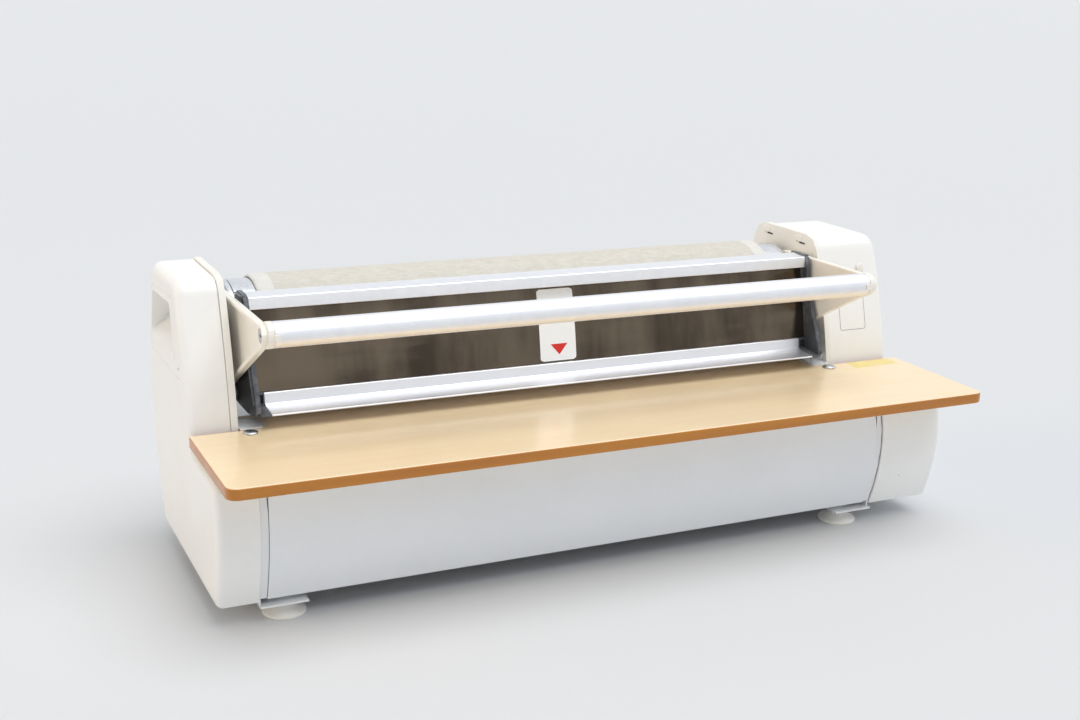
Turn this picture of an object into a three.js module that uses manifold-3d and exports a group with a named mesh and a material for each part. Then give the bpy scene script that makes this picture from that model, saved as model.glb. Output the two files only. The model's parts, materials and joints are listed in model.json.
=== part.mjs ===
// A table-top flatwork ironer: a padded roller between two gables, a heated shoe in front of it that
// tilts on a lower pivot, a pressing bar on two arms, and a wooden feeding table over a sheet base.
// Millimetres. X runs along the roller, -Y is the operator's side, +Z is up. The pieces are drawn in a
// frame with X = 0 at the roller's middle, Y = 0 at the gables' front faces just above the table and
// Z = 0 at the floor; the outer group then moves the whole to the middle of its own footprint.
import * as THREE from 'three';
import { mergeVertices } from 'three/addons/utils/BufferGeometryUtils.js';
import Module from 'manifold-3d';

const wasm = await Module();
wasm.setup();

// ---- driving dimensions ----

// Between and around the gables
const innerHalf = 488; // roller middle to either gable's inner face
const leftGableWidth = 68; // the idle side
const rightGableWidth = 125; // the drive side
const wall = 3; // moulded gable wall
const edgeRound = 13; // rounding of a gable's outer edges
const panelDepth = 9.5; // inner panel, rim to face
const panelSkin = 3;
const panelProud = 3.5; // inner panel's rim above the gable cover
const seam = 0.5; // parting gap between mouldings
const latchPlaces = [92, 186]; // snap latches along the top of an inner panel
const latchWidth = 20;

// Heights and depths of a gable's side outline
const baseBottom = 32;
const tableTop = 232;
const baseTop = tableTop - 26;
const baseFront = 141; // ahead of the tower's front face
const towerTop = tableTop + 197;
const towerTopFront = 54; // how far back the leaning front has come at the top
const towerTopRear = 229;
const rearmost = 264;
const rearToe = 207;

// Hand recess in each gable's outer face; its floor is a ramp that rises inwards
const recessDepth = 30;
const recessTop = towerTop - 36;
const recessBottom = towerTop - 108;
const recessTopFront = 92;
const recessTopRear = 212;
const recessFoot = [77, 232]; // where its front and rear edges reach the bottom
const recessRamp = 24; // rise of the floor
const recessFrame = [13, 26, 27]; // width of the raised frame above, ahead and below
const recessProud = 1;

// Feeding table
const tableOverhang = 9; // past the drive-side gable
const tableThickness = 16;
const tableReach = 225; // ahead of the tower's front face
const tableTongue = 58; // how far the board runs back between the gables
const tableCorner = 14;
const boltX = innerHalf - 11;
const boltY = -22;
const boltHead = 22;
const clipReach = 34; // how far a clip lies on the board, from the gable

// Sheet-steel base
const frameSheet = 2.5;
const frameInset = 5; // side frame inside the gable's outline
const coverSheet = 1.5;
const coverInset = 2;
const coverReturn = 22;
const railHeight = 40;
const footX = innerHalf - 31;
const footFrontY = -100;
const footRearY = 168;
const footDiameter = 59;
const footHeight = 23.5;
const footStem = 17;
const footPlate = 25; // half the length of the side frame's foot plate

// Roller
const rollerY = 152;
const clothRadius = 84;
const clothRise = 12; // cloth above the board
const rollerZ = tableTop + clothRadius + clothRise;
const clothThickness = 1.2;
const rollerFacets = 24;
const padThickness = 4;
const drumWall = 2.5;
const drumHalf = innerHalf - 26;
const clothHalf = drumHalf - 32;
const edgingWidth = 26;
const discDepth = 8;
const shaftRadius = 12;
const bearingRadius = 20;
const fitGap = 0.3;

// Drive
const gearModule = 3;
const rollerTeeth = 42;
const pinionTeeth = 14;
const backlash = 0.3;
const gearWidth = 12;
const pinionAngle = -81; // degrees round the roller axis, from +Y
const motorRadius = 42;
const motorDrop = 34; // motor axis below the output shaft
const gearboxDepth = 22;

// Shoe
const pivotY = rollerY - 56;
const pivotZ = tableTop + 24;
const pivotRadius = 6;
const runGap = 0.6; // heated plate to cloth, closed
const plateThickness = 6.5;
const plateTopAngle = 138; // degrees round the roller axis, from +Y
const plateBottomAngle = 229;
const endPlateInner = innerHalf - 28.5;
const endPlateThickness = 6.5;
const ribProud = 3; // the rib cast on an end plate
const endBlock = 14; // an end plate's block beside the lower extrusion
const profileHalf = endPlateInner - endBlock;
const profileWall = 2.2;
const heaterRadius = 4.2;
const heaterAngles = [167, 199];
const coverBulge = 2.5; // how far the sheet cover bows out between the two extrusions
const shoeCoverSheet = 1.2;

// Pressing bar
const barY = rollerY - 256.5;
const barZ = rollerZ + 60.7;
const barRadius = 17.5;
const barWall = 2;
const armThickness = 10.5;
const armClear = 6; // arm to the gable's inner face
const armTipRadius = 14;
const armCollar = 5; // the collar between an arm and the bar
const collarFacets = 22;
const collarLip = 0.3168; // the collar's flats outside the bar
const armRim = 5;
const armPocket = 6;
const armWell = 10.5; // radius of the well round an arm's screw
const armHeel = [pivotY - 4, pivotZ + 18, 7]; // [y, z, radius] of an arm's lower corner
const armCrown = [rollerY - 34, rollerZ + 57, 15]; // and of its rear upper corner
const armBolt = [rollerY - 98, rollerZ + 16]; // where an arm is bolted to the shoe's end plate

// Pressure springs and their levers, inside the gables
const leverReach = 42;
const leverThickness = 5;
const springTop = rollerZ + 22;
const springRadius = 6;
const springWire = 1.1;
const springTurns = 5;
const springSteps = 7; // straight stretches in each turn

// Controls on the drive side
const dialY = 40;
const dialZ = baseTop - 56;
const dialRadius = 21;
const dialDepth = 9.5;
const rockerY = 105;
const rockerZ = baseTop - 56;
const rockerTilt = 8; // degrees, off position
const lampX = innerHalf + 83;
const lampZ = towerTop - 51;
const lampRadius = 8;

// Mains inlet in the rear cover
const glandX = innerHalf - 88;
const glandZ = 96;
const glandRadius = 8.6;

// ---- values worked out from them ----

const rearReach = rearmost + panelProud - 0.5; // the inner panels' rims, the rearmost edge of all
const leftOuter = -(innerHalf + leftGableWidth) - recessProud;
const rightOuter = innerHalf + rightGableWidth + recessProud;
const tableLeft = leftOuter;
const tableRight = rightOuter + tableOverhang;
const tableUnder = tableTop - tableThickness;
const drumRadius = clothRadius - clothThickness - padThickness - 2 * fitGap;
const frameX = innerHalf + panelDepth - frameSheet; // side frame, inner face
const gearPitch = gearModule * rollerTeeth / 2;
const pinionPitch = gearModule * pinionTeeth / 2;
const turn = Math.PI / 180;
const pressureAngle = 20 * turn;
const pinionY = rollerY + (gearPitch + pinionPitch) * Math.cos(pinionAngle * turn);
const pinionZ = rollerZ + (gearPitch + pinionPitch) * Math.sin(pinionAngle * turn);
const gearX = frameX + frameSheet + 14;
const plateRadius = clothRadius + runGap;
const plateFront = rollerY - plateRadius; // the heated face's foremost line
const plateTop = rollerZ + plateRadius * Math.sin(plateTopAngle * turn);
const plateFoot = rollerZ + plateRadius * Math.sin(plateBottomAngle * turn);
const heaterSeat = plateRadius + plateThickness + heaterRadius + fitGap;
const armOuter = innerHalf - armClear;
const armInner = armOuter - armThickness;
const barHalf = armInner - armCollar;
const endPlateOuter = endPlateInner + endPlateThickness;
const leverX = frameX + frameSheet + 3.5;

// ---- materials ----

const paint = (color, roughness = 0.5, metalness = 0) => new THREE.MeshStandardMaterial({ color, roughness, metalness });
const cream = paint(0xece7dc, 0.45);
const gableWhite = paint(0xf1f0ea, 0.4);
const enamel = paint(0xdcdfe3, 0.25);
const beech = paint(0xf2d2a2, 0.45);
const satinAluminium = paint(0xd9dbe2, 0.35, 0.9);
const brownSteel = paint(0x574d42, 0.3, 0.9);
const brightSteel = paint(0xc9cbd2, 0.25, 0.9);
const darkGrey = paint(0x4a4d52, 0.55);
const zinc = paint(0xc4c7cc, 0.3, 0.8);
const castIron = paint(0x6b6e72, 0.6, 0.5);
const cotton = paint(0xe3dfd3, 0.95);
const tape = paint(0xf3f1ea, 0.9);
const felt = paint(0xd8d2c4, 0.98);
const black = paint(0x1c1d1f, 0.5);
const amber = paint(0xf5f2ea, 0.15);
const springSteel = paint(0x8f9296, 0.35, 0.9);

// ---- solids ----

// A three.js geometry as a solid: merged vertices, no collapsed triangles, faces pointing out.
function solid(geometry) {
  const bare = geometry.clone();
  bare.deleteAttribute('normal');
  bare.deleteAttribute('uv');
  const merged = mergeVertices(bare, 1e-4);
  const position = merged.attributes.position;
  const index = merged.index.array;
  const kept = [];
  let volume = 0;
  const [a, b, c] = [new THREE.Vector3(), new THREE.Vector3(), new THREE.Vector3()];
  for (let i = 0; i < index.length; i += 3) {
    const [p, q, r] = [index[i], index[i + 1], index[i + 2]];
    if (p === q || q === r || r === p) continue;
    kept.push([p, q, r]);
    a.fromBufferAttribute(position, p);
    b.fromBufferAttribute(position, q);
    c.fromBufferAttribute(position, r);
    volume += a.dot(b.cross(c));
  }
  const triVerts = Uint32Array.from(kept.flatMap(([p, q, r]) => (volume < 0 ? [p, r, q] : [p, q, r])));
  const vertProperties = Float32Array.from(position.array);
  return new wasm.Manifold(new wasm.Mesh({ numProp: 3, vertProperties, triVerts }));
}

const join = (...parts) => parts.reduce((sum, part) => sum.add(part));
const cut = (whole, ...tools) => tools.reduce((rest, tool) => rest.subtract(tool), whole);

function geometryOf(body) {
  const { vertProperties, triVerts } = body.getMesh();
  const geometry = new THREE.BufferGeometry();
  geometry.setAttribute('position', new THREE.BufferAttribute(Float32Array.from(vertProperties), 3));
  geometry.setIndex(new THREE.BufferAttribute(Uint32Array.from(triVerts), 1));
  return geometry;
}

const machine = new THREE.Group();

function add(name, body, material) {
  const geometry = geometryOf(body);
  geometry.computeVertexNormals();
  const mesh = new THREE.Mesh(geometry, material);
  mesh.name = name;
  machine.add(mesh);
}

// A side outline in (y, z) pushed along X from x0 to x1.
const sideways = new THREE.Matrix4().makeBasis(
  new THREE.Vector3(0, 1, 0), new THREE.Vector3(0, 0, 1), new THREE.Vector3(1, 0, 0));

function alongX(outline, x0, x1, rounding = 0, steps = 1) {
  const shape = outline instanceof THREE.Shape ? outline : new THREE.Shape(outline);
  const bevel = { bevelEnabled: rounding > 0, bevelThickness: rounding, bevelSize: rounding,
    bevelOffset: -rounding, bevelSegments: steps };
  const depth = Math.abs(x1 - x0) - 2 * rounding;
  const geometry = new THREE.ExtrudeGeometry(shape, { depth, curveSegments: 4, ...bevel });
  geometry.applyMatrix4(sideways);
  geometry.translate(Math.min(x0, x1) + rounding, 0, 0);
  return solid(geometry);
}

function box(x0, x1, y0, y1, z0, z1) {
  const geometry = new THREE.BoxGeometry(Math.abs(x1 - x0), Math.abs(y1 - y0), Math.abs(z1 - z0));
  geometry.translate((x0 + x1) / 2, (y0 + y1) / 2, (z0 + z1) / 2);
  return solid(geometry);
}

// A profile of [radius, distance] pairs turned about an axis through (y, z) along X.
function turnedX(profile, y, z, segments = 36) {
  const geometry = new THREE.LatheGeometry(profile.map(([r, x]) => new THREE.Vector2(r, x)), segments);
  geometry.rotateZ(-Math.PI / 2);
  geometry.translate(0, y, z);
  return solid(geometry);
}

function turnedZ(profile, x, y, segments = 20) {
  const geometry = new THREE.LatheGeometry(profile.map(([r, z]) => new THREE.Vector2(r, z)), segments);
  geometry.rotateX(Math.PI / 2);
  geometry.translate(x, y, 0);
  return solid(geometry);
}

const rod = (radius, x0, x1, y, z, segments = 20) =>
  turnedX([[0, x0], [radius, x0], [radius, x1], [0, x1]], y, z, segments);
const ring = (outer, inner, x0, x1, y, z, segments = 36) =>
  turnedX([[inner, x0], [outer, x0], [outer, x1], [inner, x1], [inner, x0]], y, z, segments);

// Every vertex of a closed outline moved outwards along its corner's bisector.
function grown(points, distance) {
  const ccw = THREE.ShapeUtils.isClockWise(points) ? -1 : 1;
  return points.map((point, i) => {
    const before = points[(i + points.length - 1) % points.length];
    const after = points[(i + 1) % points.length];
    const u = point.clone().sub(before).normalize();
    const v = after.clone().sub(point).normalize();
    const normal = new THREE.Vector2(u.y + v.y, -(u.x + v.x)).normalize();
    const spread = Math.max(0.5, normal.dot(new THREE.Vector2(u.y, -u.x)));
    return point.clone().addScaledVector(normal, ccw * distance / spread);
  });
}

// A strip of sheet that follows an open line of points, on its left-hand side.
function strip(line, thickness) {
  const back = line.map((point, i) => {
    const before = line[Math.max(0, i - 1)];
    const after = line[Math.min(line.length - 1, i + 1)];
    const along = after.clone().sub(before).normalize();
    return point.clone().add(new THREE.Vector2(-along.y, along.x).multiplyScalar(thickness));
  });
  return [...line, ...back.reverse()];
}

const beltStep = 0.6; // radians turned by each facet

// The outline that a belt stretched round circles [y, z, radius] takes; they are given anticlockwise.
function beltShape(circles) {
  const points = [];
  circles.forEach(([y, z, r], i) => {
    const [py, pz, pr] = circles[(i + circles.length - 1) % circles.length];
    const [ny, nz, nr] = circles[(i + 1) % circles.length];
    const facing = (fromY, fromZ, fromR, toY, toZ, toR) => Math.atan2(toZ - fromZ, toY - fromY)
      - Math.PI / 2 + Math.asin((toR - fromR) / -Math.hypot(toY - fromY, toZ - fromZ));
    const start = facing(py, pz, pr, y, z, r);
    const end = facing(y, z, r, ny, nz, nr);
    const sweep = ((end - start) % (2 * Math.PI) + 2 * Math.PI) % (2 * Math.PI);
    const pieces = Math.max(2, Math.round(sweep / beltStep));
    for (let k = 0; k <= pieces; k += 1) {
      const a = start + sweep * k / pieces;
      points.push(new THREE.Vector2(y + r * Math.cos(a), z + r * Math.sin(a)));
    }
  });
  return points;
}

// Points along a drawn shape: straight pieces by their ends, curved ones every so many millimetres.
function traced(shape, stretch) {
  const points = [];
  for (const curve of shape.curves) {
    const pieces = curve.isLineCurve ? 1 : Math.max(2, Math.round(curve.getLength() / stretch));
    for (let i = 0; i < pieces; i += 1) points.push(curve.getPoint(i / pieces));
  }
  const last = shape.curves[shape.curves.length - 1].getPoint(1);
  if (last.distanceTo(points[0]) > 0.01) points.push(last);
  return points;
}

const mirrored = (side) => (x) => side * x;
const sides = [['left', -1], ['right', 1]];

// ---- gables ----

// The side outline shared by the gable covers, inner panels, side frames and base covers.
function gableOutline() {
  const shape = new THREE.Shape();
  const corner = 20;
  shape.moveTo(-baseFront + 13, baseBottom);
  shape.bezierCurveTo(-baseFront - 9, baseBottom + 58, -baseFront - 13, baseTop - 56, -baseFront, baseTop - corner);
  shape.quadraticCurveTo(-baseFront + 1, baseTop, -baseFront + corner, baseTop);
  shape.lineTo(-2, baseTop);
  shape.quadraticCurveTo(towerTopFront / 3, (baseTop + towerTop) / 2, towerTopFront, towerTop - 20);
  shape.quadraticCurveTo(towerTopFront + 7, towerTop, towerTopFront + 30, towerTop);
  shape.lineTo(towerTopRear - 29, towerTop);
  shape.quadraticCurveTo(towerTopRear - 7, towerTop, towerTopRear, towerTop - 23);
  shape.bezierCurveTo(towerTopRear + 21, towerTop - 95, rearmost, baseTop + 54, rearmost, baseTop - 1);
  shape.bezierCurveTo(rearmost, baseTop - 41, rearToe + 28, baseBottom + 78, rearToe + 2, baseBottom + 19);
  shape.quadraticCurveTo(rearToe - 5, baseBottom, rearToe - 26, baseBottom);
  return traced(shape, 30);
}

const outline = gableOutline();
const frontLine = outline.filter((p) => p.x < -baseFront + 14 && p.y < baseTop - 5);
const rearLine = outline.filter((p) => p.x > rearToe - 6 && p.y < baseTop + 1);

// An outline in (x, z) pushed along Y.
function alongY(points, y0, y1) {
  const geometry = new THREE.ExtrudeGeometry(new THREE.Shape(points), { depth: y1 - y0, bevelEnabled: false });
  geometry.rotateX(Math.PI / 2);
  geometry.translate(0, y1, 0);
  return solid(geometry);
}

// The recess's opening, grown by its own amount above, ahead and behind, and below.
function recessOutline(above, ahead, below) {
  const shape = new THREE.Shape();
  const [footFront, footRear] = recessFoot;
  const r = 5 + Math.min(above, 6);
  const [low, high] = [recessBottom - below, recessTop + above];
  const lean = (recessTopFront - footFront) / (recessTop - recessBottom);
  const front = (z) => footFront - ahead + lean * (z - recessBottom);
  const rear = (z) => footRear + Math.min(ahead, above) - (footRear - recessTopRear) * (z - recessBottom) / (recessTop - recessBottom);
  shape.moveTo(rear(low), low);
  shape.lineTo(rear(high - 6), high - 6);
  shape.lineTo(front(high) + r, high);
  shape.quadraticCurveTo(front(high), high, front(high - r), high - r);
  shape.lineTo(front(low + r), low + r);
  shape.quadraticCurveTo(front(low), low, front(low) + r, low);
  return traced(shape, 7);
}

function gableCover(side, width) {
  const x = mirrored(side);
  const outer = innerHalf + width;
  const shellInner = innerHalf + panelDepth + seam;
  const past = 40;
  const beyondInner = box(x(shellInner), x(shellInner - past), -400, 400, -50, 600);
  const body = cut(alongX(outline, x(shellInner - past / 2), x(outer), edgeRound, 2), beyondInner);
  const hollow = alongX(grown(outline, -wall), x(shellInner - past / 2), x(outer - wall), edgeRound - wall, 1);
  const floor = outer - recessDepth;
  // everything under the ramp, a distance below it
  const under = (drop) => {
    const [low, deep] = [recessBottom - drop, floor - wall - 2];
    const line = [[outer + past, low], [outer, low], [floor, low + recessRamp], [deep, low + recessRamp], [deep, 100],
      [outer + past, 100]];
    return alongY(line.map(([u, v]) => new THREE.Vector2(x(u), v)), -400, 400);
  };
  const pocketWalls = cut(alongX(recessOutline(wall, wall, wall), x(floor - wall), x(outer + past)),
    under(wall * 1.3));
  const flat = alongX(grown(outline, -edgeRound), x(outer - wall - 2), x(outer + past));
  const raised = alongX(recessOutline(...recessFrame), x(outer - wall), x(outer + recessProud)).intersect(flat);
  const pocket = cut(alongX(recessOutline(0, 0, 0), x(floor), x(outer + past)), under(0));
  return cut(join(cut(body, cut(hollow, pocketWalls)), raised), pocket);
}

function innerPanel(side) {
  const x = mirrored(side);
  const rim = innerHalf + panelDepth;
  const tall = grown(outline, panelProud);
  const aboveTable = box(x(innerHalf - 5), x(rim + 5), -panelProud - 2.6, rearReach, baseTop + seam, 600);
  const plate = alongX(tall, x(innerHalf), x(rim)).intersect(aboveTable);
  const tray = alongX(grown(outline, -0.5), x(innerHalf + panelSkin), x(rim + 5));
  const shaftHole = rod(bearingRadius + 9, x(innerHalf - 5), x(rim + 5), rollerY, rollerZ, 20);
  const pivotHole = rod(pivotRadius + 2, x(innerHalf - 5), x(rim + 5), pivotY, pivotZ, 12);
  const latches = latchPlaces.map((y) =>
    box(x(innerHalf - 1.4), x(innerHalf + 1), y, y + latchWidth, towerTop - 11, towerTop - 3));
  const slots = latchPlaces.map((y) =>
    box(x(innerHalf - 5), x(innerHalf + panelSkin - 0.8), y + 3, y + latchWidth - 3, towerTop - 14, towerTop - 11));
  return cut(join(cut(plate, tray), ...latches), shaftHole, pivotHole, ...slots);
}

function gables() {
  const [left, right] = [-1, 1].map((side) => gableCover(side, side < 0 ? leftGableWidth : rightGableWidth));
  const skirtFrom = innerHalf - 1 + seam;
  const skirtTo = innerHalf + panelDepth + seam + wall;
  const skirt = cut(alongX(outline, skirtFrom, skirtTo), alongX(grown(outline, -wall), skirtFrom - 5, skirtTo + 5))
    .intersect(box(skirtFrom, skirtTo, -400, footFrontY - footPlate, baseBottom + 2, baseTop - 12));
  const dialHole = rod(4.6, rightOuter - 20, rightOuter + 5, dialY, dialZ, 12);
  const rockerHole = box(rightOuter - 20, rightOuter + 5, rockerY - 7.5, rockerY + 7.5, rockerZ - 15, rockerZ + 15);
  add('left_gable_cover', left, gableWhite);
  add('right_gable_cover', cut(join(right, skirt), dialHole, rockerHole, lampHole()), gableWhite);
  for (const [name, side] of sides) add(`${name}_inner_panel`, innerPanel(side), cream);
}

// ---- pilot lamp: a lens in the leaning front of the drive-side gable ----

// A profile of [radius, height] turned about the outline's own normal at a height, on the tower's leaning
// front or on the rear; height 0 is the outline itself.
function onOutline(profile, x, z, rear, segments) {
  const after = outline.findIndex((p, i) => {
    const before = outline[Math.max(0, i - 1)];
    const across = (p.y - z) * (before.y - z) <= 0 && p.y !== before.y;
    return across && (rear ? p.x > towerTopRear / 2 : p.x > -10);
  });
  const [p, q] = [outline[after - 1], outline[after]];
  const wallY = p.x + (q.x - p.x) * (z - p.y) / (q.y - p.y);
  const geometry = new THREE.LatheGeometry(profile.map(([r, h]) => new THREE.Vector2(r, h)), segments);
  geometry.rotateX(Math.atan2(q.x - p.x, p.y - q.y));
  geometry.translate(x, wallY, z);
  return solid(geometry);
}

const lampStem = lampRadius - 1.5;
const lampHole = () =>
  onOutline([[0, -30], [lampStem + fitGap, -30], [lampStem + fitGap, 6], [0, 6]], lampX, lampZ, false, 14);

// ---- feeding table ----

function feedingTable() {
  const notch = -3 - panelProud;
  const tongue = innerHalf - 1.5;
  const shape = new THREE.Shape();
  shape.moveTo(tableLeft + tableCorner, -tableReach);
  shape.lineTo(tableRight - tableCorner, -tableReach);
  shape.absarc(tableRight - tableCorner, -tableReach + tableCorner, tableCorner, -Math.PI / 2, 0, false);
  shape.lineTo(tableRight, notch);
  shape.lineTo(tongue, notch);
  shape.lineTo(tongue, tableTongue);
  shape.lineTo(-tongue, tableTongue);
  shape.lineTo(-tongue, notch);
  shape.lineTo(tableLeft, notch);
  shape.lineTo(tableLeft, -tableReach + tableCorner);
  shape.absarc(tableLeft + tableCorner, -tableReach + tableCorner, tableCorner, Math.PI, 1.5 * Math.PI, false);
  const round = 1.6;
  const geometry = new THREE.ExtrudeGeometry(shape, { depth: tableThickness - 2 * round, curveSegments: 4,
    bevelThickness: round, bevelSize: round, bevelOffset: -round, bevelSegments: 1 });
  geometry.translate(0, 0, tableUnder + round);
  const holes = [-boltX, boltX].map((x) => turnedZ([[0, 0], [4, 0], [4, 600], [0, 600]], x, boltY, 14));
  add('feeding_table', cut(solid(geometry), ...holes), beech);
}

function tableBolts() {
  const r = boltHead / 2;
  const seat = tableTop + fitGap;
  const profile = [[0, tableUnder - 9], [3.5, tableUnder - 9], [3.5, seat], [r, seat], [r, seat + 1],
    [r * 0.7, seat + 3], [0, seat + 3.6]];
  for (const [name, side] of sides) {
    const x = side * boltX;
    const slots = [box(x - 3.6, x + 3.6, boltY - 0.8, boltY + 0.8, seat + 1.6, seat + 5),
      box(x - 0.8, x + 0.8, boltY - 3.6, boltY + 3.6, seat + 1.6, seat + 5)];
    add(`${name}_table_bolt`, cut(turnedZ(profile, x, boltY, 10), ...slots), zinc);
  }
}

// The painted tabs that lie on the board beside each gable and hold its tongue down.
function tableClips() {
  for (const [name, side] of sides) {
    const x = mirrored(side);
    const top = tableTop + fitGap;
    const shape = new THREE.Shape();
    shape.moveTo(x(innerHalf - fitGap), -8);
    const reach = innerHalf - clipReach;
    shape.lineTo(x(reach + 7), -8);
    shape.quadraticCurveTo(x(reach), -7, x(reach), 1);
    shape.lineTo(x(reach), 30);
    shape.lineTo(x(innerHalf - fitGap), 44);
    const geometry = new THREE.ExtrudeGeometry(shape, { depth: 2, bevelEnabled: false, curveSegments: 4 });
    geometry.translate(0, 0, top);
    const leg = box(x(innerHalf - fitGap), x(innerHalf - fitGap - 2), 12, 43, top + 0.5, top + 12);
    add(`${name}_table_clip`, join(solid(geometry), leg), enamel);
  }
}

// ---- base ----

// A line of the outline moved in by a distance, kept in its own order.
function insetLine(line, distance) {
  const moved = grown(outline, -distance);
  return line.map((p) => moved[outline.indexOf(p)]);
}

function sideFrame(side) {
  const x = mirrored(side);
  const [face, back] = [frameX, frameX + frameSheet];
  const plate = alongX(grown(outline, -frameInset - 0.6), x(face), x(back));
  // flanges behind the joints between the gable and the base's front and rear covers
  const flangeLines = [strip(insetLine(frontLine, coverInset + coverSheet).reverse(), frameSheet),
    strip(insetLine(rearLine, coverInset + coverSheet), -frameSheet)];
  const flanges = flangeLines.map((line) => alongX(line, x(innerHalf - 1.2), x(back - 0.2))
    .intersect(box(x(face - 30), x(back + 5), -400, 400, -50, baseTop - 8)));
  // the shelf under the board: full width ahead of the tower, then only inside the gable's panel
  const shelfFront = -baseFront + 14;
  const shelfSplit = -panelProud - 6;
  const shelf = [tableUnder - 3, tableUnder - fitGap];
  const wideShelf = box(x(innerHalf - 24), x(back), shelfFront, shelfSplit, ...shelf);
  const tongueShelf = box(x(innerHalf - 24), x(innerHalf - fitGap), shelfSplit - 1, tableTongue - 6, ...shelf);
  const shelfLeg = box(x(face), x(back), shelfFront, shelfSplit, baseTop - 14, tableUnder - 1);
  const shelfHole = turnedZ([[0, 0], [4.2, 0], [4.2, 600], [0, 600]], x(boltX), boltY, 12);
  const plateLow = footHeight + fitGap;
  const footPlates = [footFrontY, footRearY].map((y) => join(
    box(x(footX - 26), x(back), y - 32, y + 32, plateLow, plateLow + frameSheet),
    box(x(face), x(back), y - footPlate + 1, y + footPlate - 1, plateLow, baseBottom + 12)));
  const studs = [footFrontY, footRearY].map((y) => turnedZ([[0, 0], [4.4, 0], [4.4, 60], [0, 60]], x(footX), y, 12));
  const bearing = rod(bearingRadius + fitGap, x(face - 5), x(back + 5), rollerY, rollerZ, 20);
  const pivot = rod(pivotRadius + fitGap, x(face - 5), x(back + 5), pivotY, pivotZ, 16);
  const springTab = box(x(face), x(leverX + 9), pivotY - leverReach - 5, pivotY - leverReach + 5,
    springTop + 0.4, springTop + 3);
  const body = join(plate, ...flanges, wideShelf, tongueShelf, shelfLeg, springTab, ...footPlates);
  return cut(body, shelfHole, bearing, pivot, ...studs);
}

function base() {
  for (const [name, side] of sides) add(`${name}_side_frame`, sideFrame(side), enamel);
  const half = innerHalf - 1.7;
  const front = insetLine(frontLine, coverInset).reverse();
  const topFold = new THREE.Vector2(front[0].x + coverReturn, tableUnder - 3.6);
  const topEdge = new THREE.Vector2(front[0].x + 1, tableUnder - 3.6);
  const bottom = front[front.length - 1];
  const footFold = new THREE.Vector2(bottom.x + coverReturn, bottom.y - 0.5);
  add('front_cover', alongX(strip([topFold, topEdge, ...front, footFold], coverSheet), -half, half), enamel);
  const rear = insetLine(rearLine, coverInset);
  const rearTop = rear[0].clone().add(new THREE.Vector2(-2, 10));
  const rearFoot = rear[rear.length - 1].clone().add(new THREE.Vector2(-coverReturn, -0.5));
  const glandHole = onOutline([[0, -20], [glandRadius + 0.5, -20], [glandRadius + 0.5, 20], [0, 20]],
    glandX, glandZ, true, 12);
  add('rear_cover', cut(alongX(strip([rearTop, ...rear, rearFoot], -coverSheet), -half, half), glandHole), enamel);
  const deckFront = tableTongue + 2;
  const deckRear = rearTop.x - coverSheet - seam;
  const deck = [new THREE.Vector2(deckFront, tableUnder + 4), new THREE.Vector2(deckFront + 14, tableUnder - 6),
    new THREE.Vector2(deckRear - 10, tableUnder - 6), new THREE.Vector2(deckRear - 1, tableUnder)];
  add('rear_deck', alongX(strip(deck, -coverSheet), -half, half), enamel);
  const railHalf = frameX - fitGap;
  const rail = (y, dir) => {
    const line = [[y + 26 * dir, baseBottom + 8], [y, baseBottom + 8], [y, baseBottom + 8 + railHeight],
      [y + 26 * dir, baseBottom + 8 + railHeight]].map(([u, v]) => new THREE.Vector2(u, v));
    return alongX(strip(line, 2 * dir), -railHalf, railHalf);
  };
  add('front_rail', rail(footFrontY + 4, 1), zinc);
  add('rear_rail', rail(footRearY - 4, -1), zinc);
}

// ---- levelling feet: flared discs on threaded stems ----

function feet() {
  const r = footDiameter / 2;
  const stem = footStem / 2;
  const profile = [[0, 0], [r - 1, 0], [r, 1.5], [r * 0.72, 4.6], [r * 0.5, 8], [stem, 15],
    [stem, footHeight], [3.9, footHeight], [3.9, baseBottom + 3], [0, baseBottom + 3]];
  for (const [name, side] of sides) {
    for (const [where, y] of [['front', footFrontY], ['rear', footRearY]]) {
      add(`${where}_${name}_foot`, turnedZ(profile, side * footX, y, 12), cream);
    }
  }
}

// ---- roller ----

function endDisc(side) {
  const x = mirrored(side);
  const inner = drumRadius - drumWall - fitGap;
  const face = drumHalf + fitGap;
  const bore = shaftRadius + fitGap;
  const profile = [[bore, face - 10], [inner, face - 10], [inner, face], [drumRadius, face],
    [drumRadius, face + 1.5], [drumRadius - 5.5, face + discDepth], [drumRadius - 14, face + discDepth],
    [drumRadius - 18, face + 1], [bore, face + 1], [bore, face - 10]];
  return turnedX(profile.map(([r, d]) => [r, x(d)]), rollerY, rollerZ, rollerFacets);
}

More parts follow.
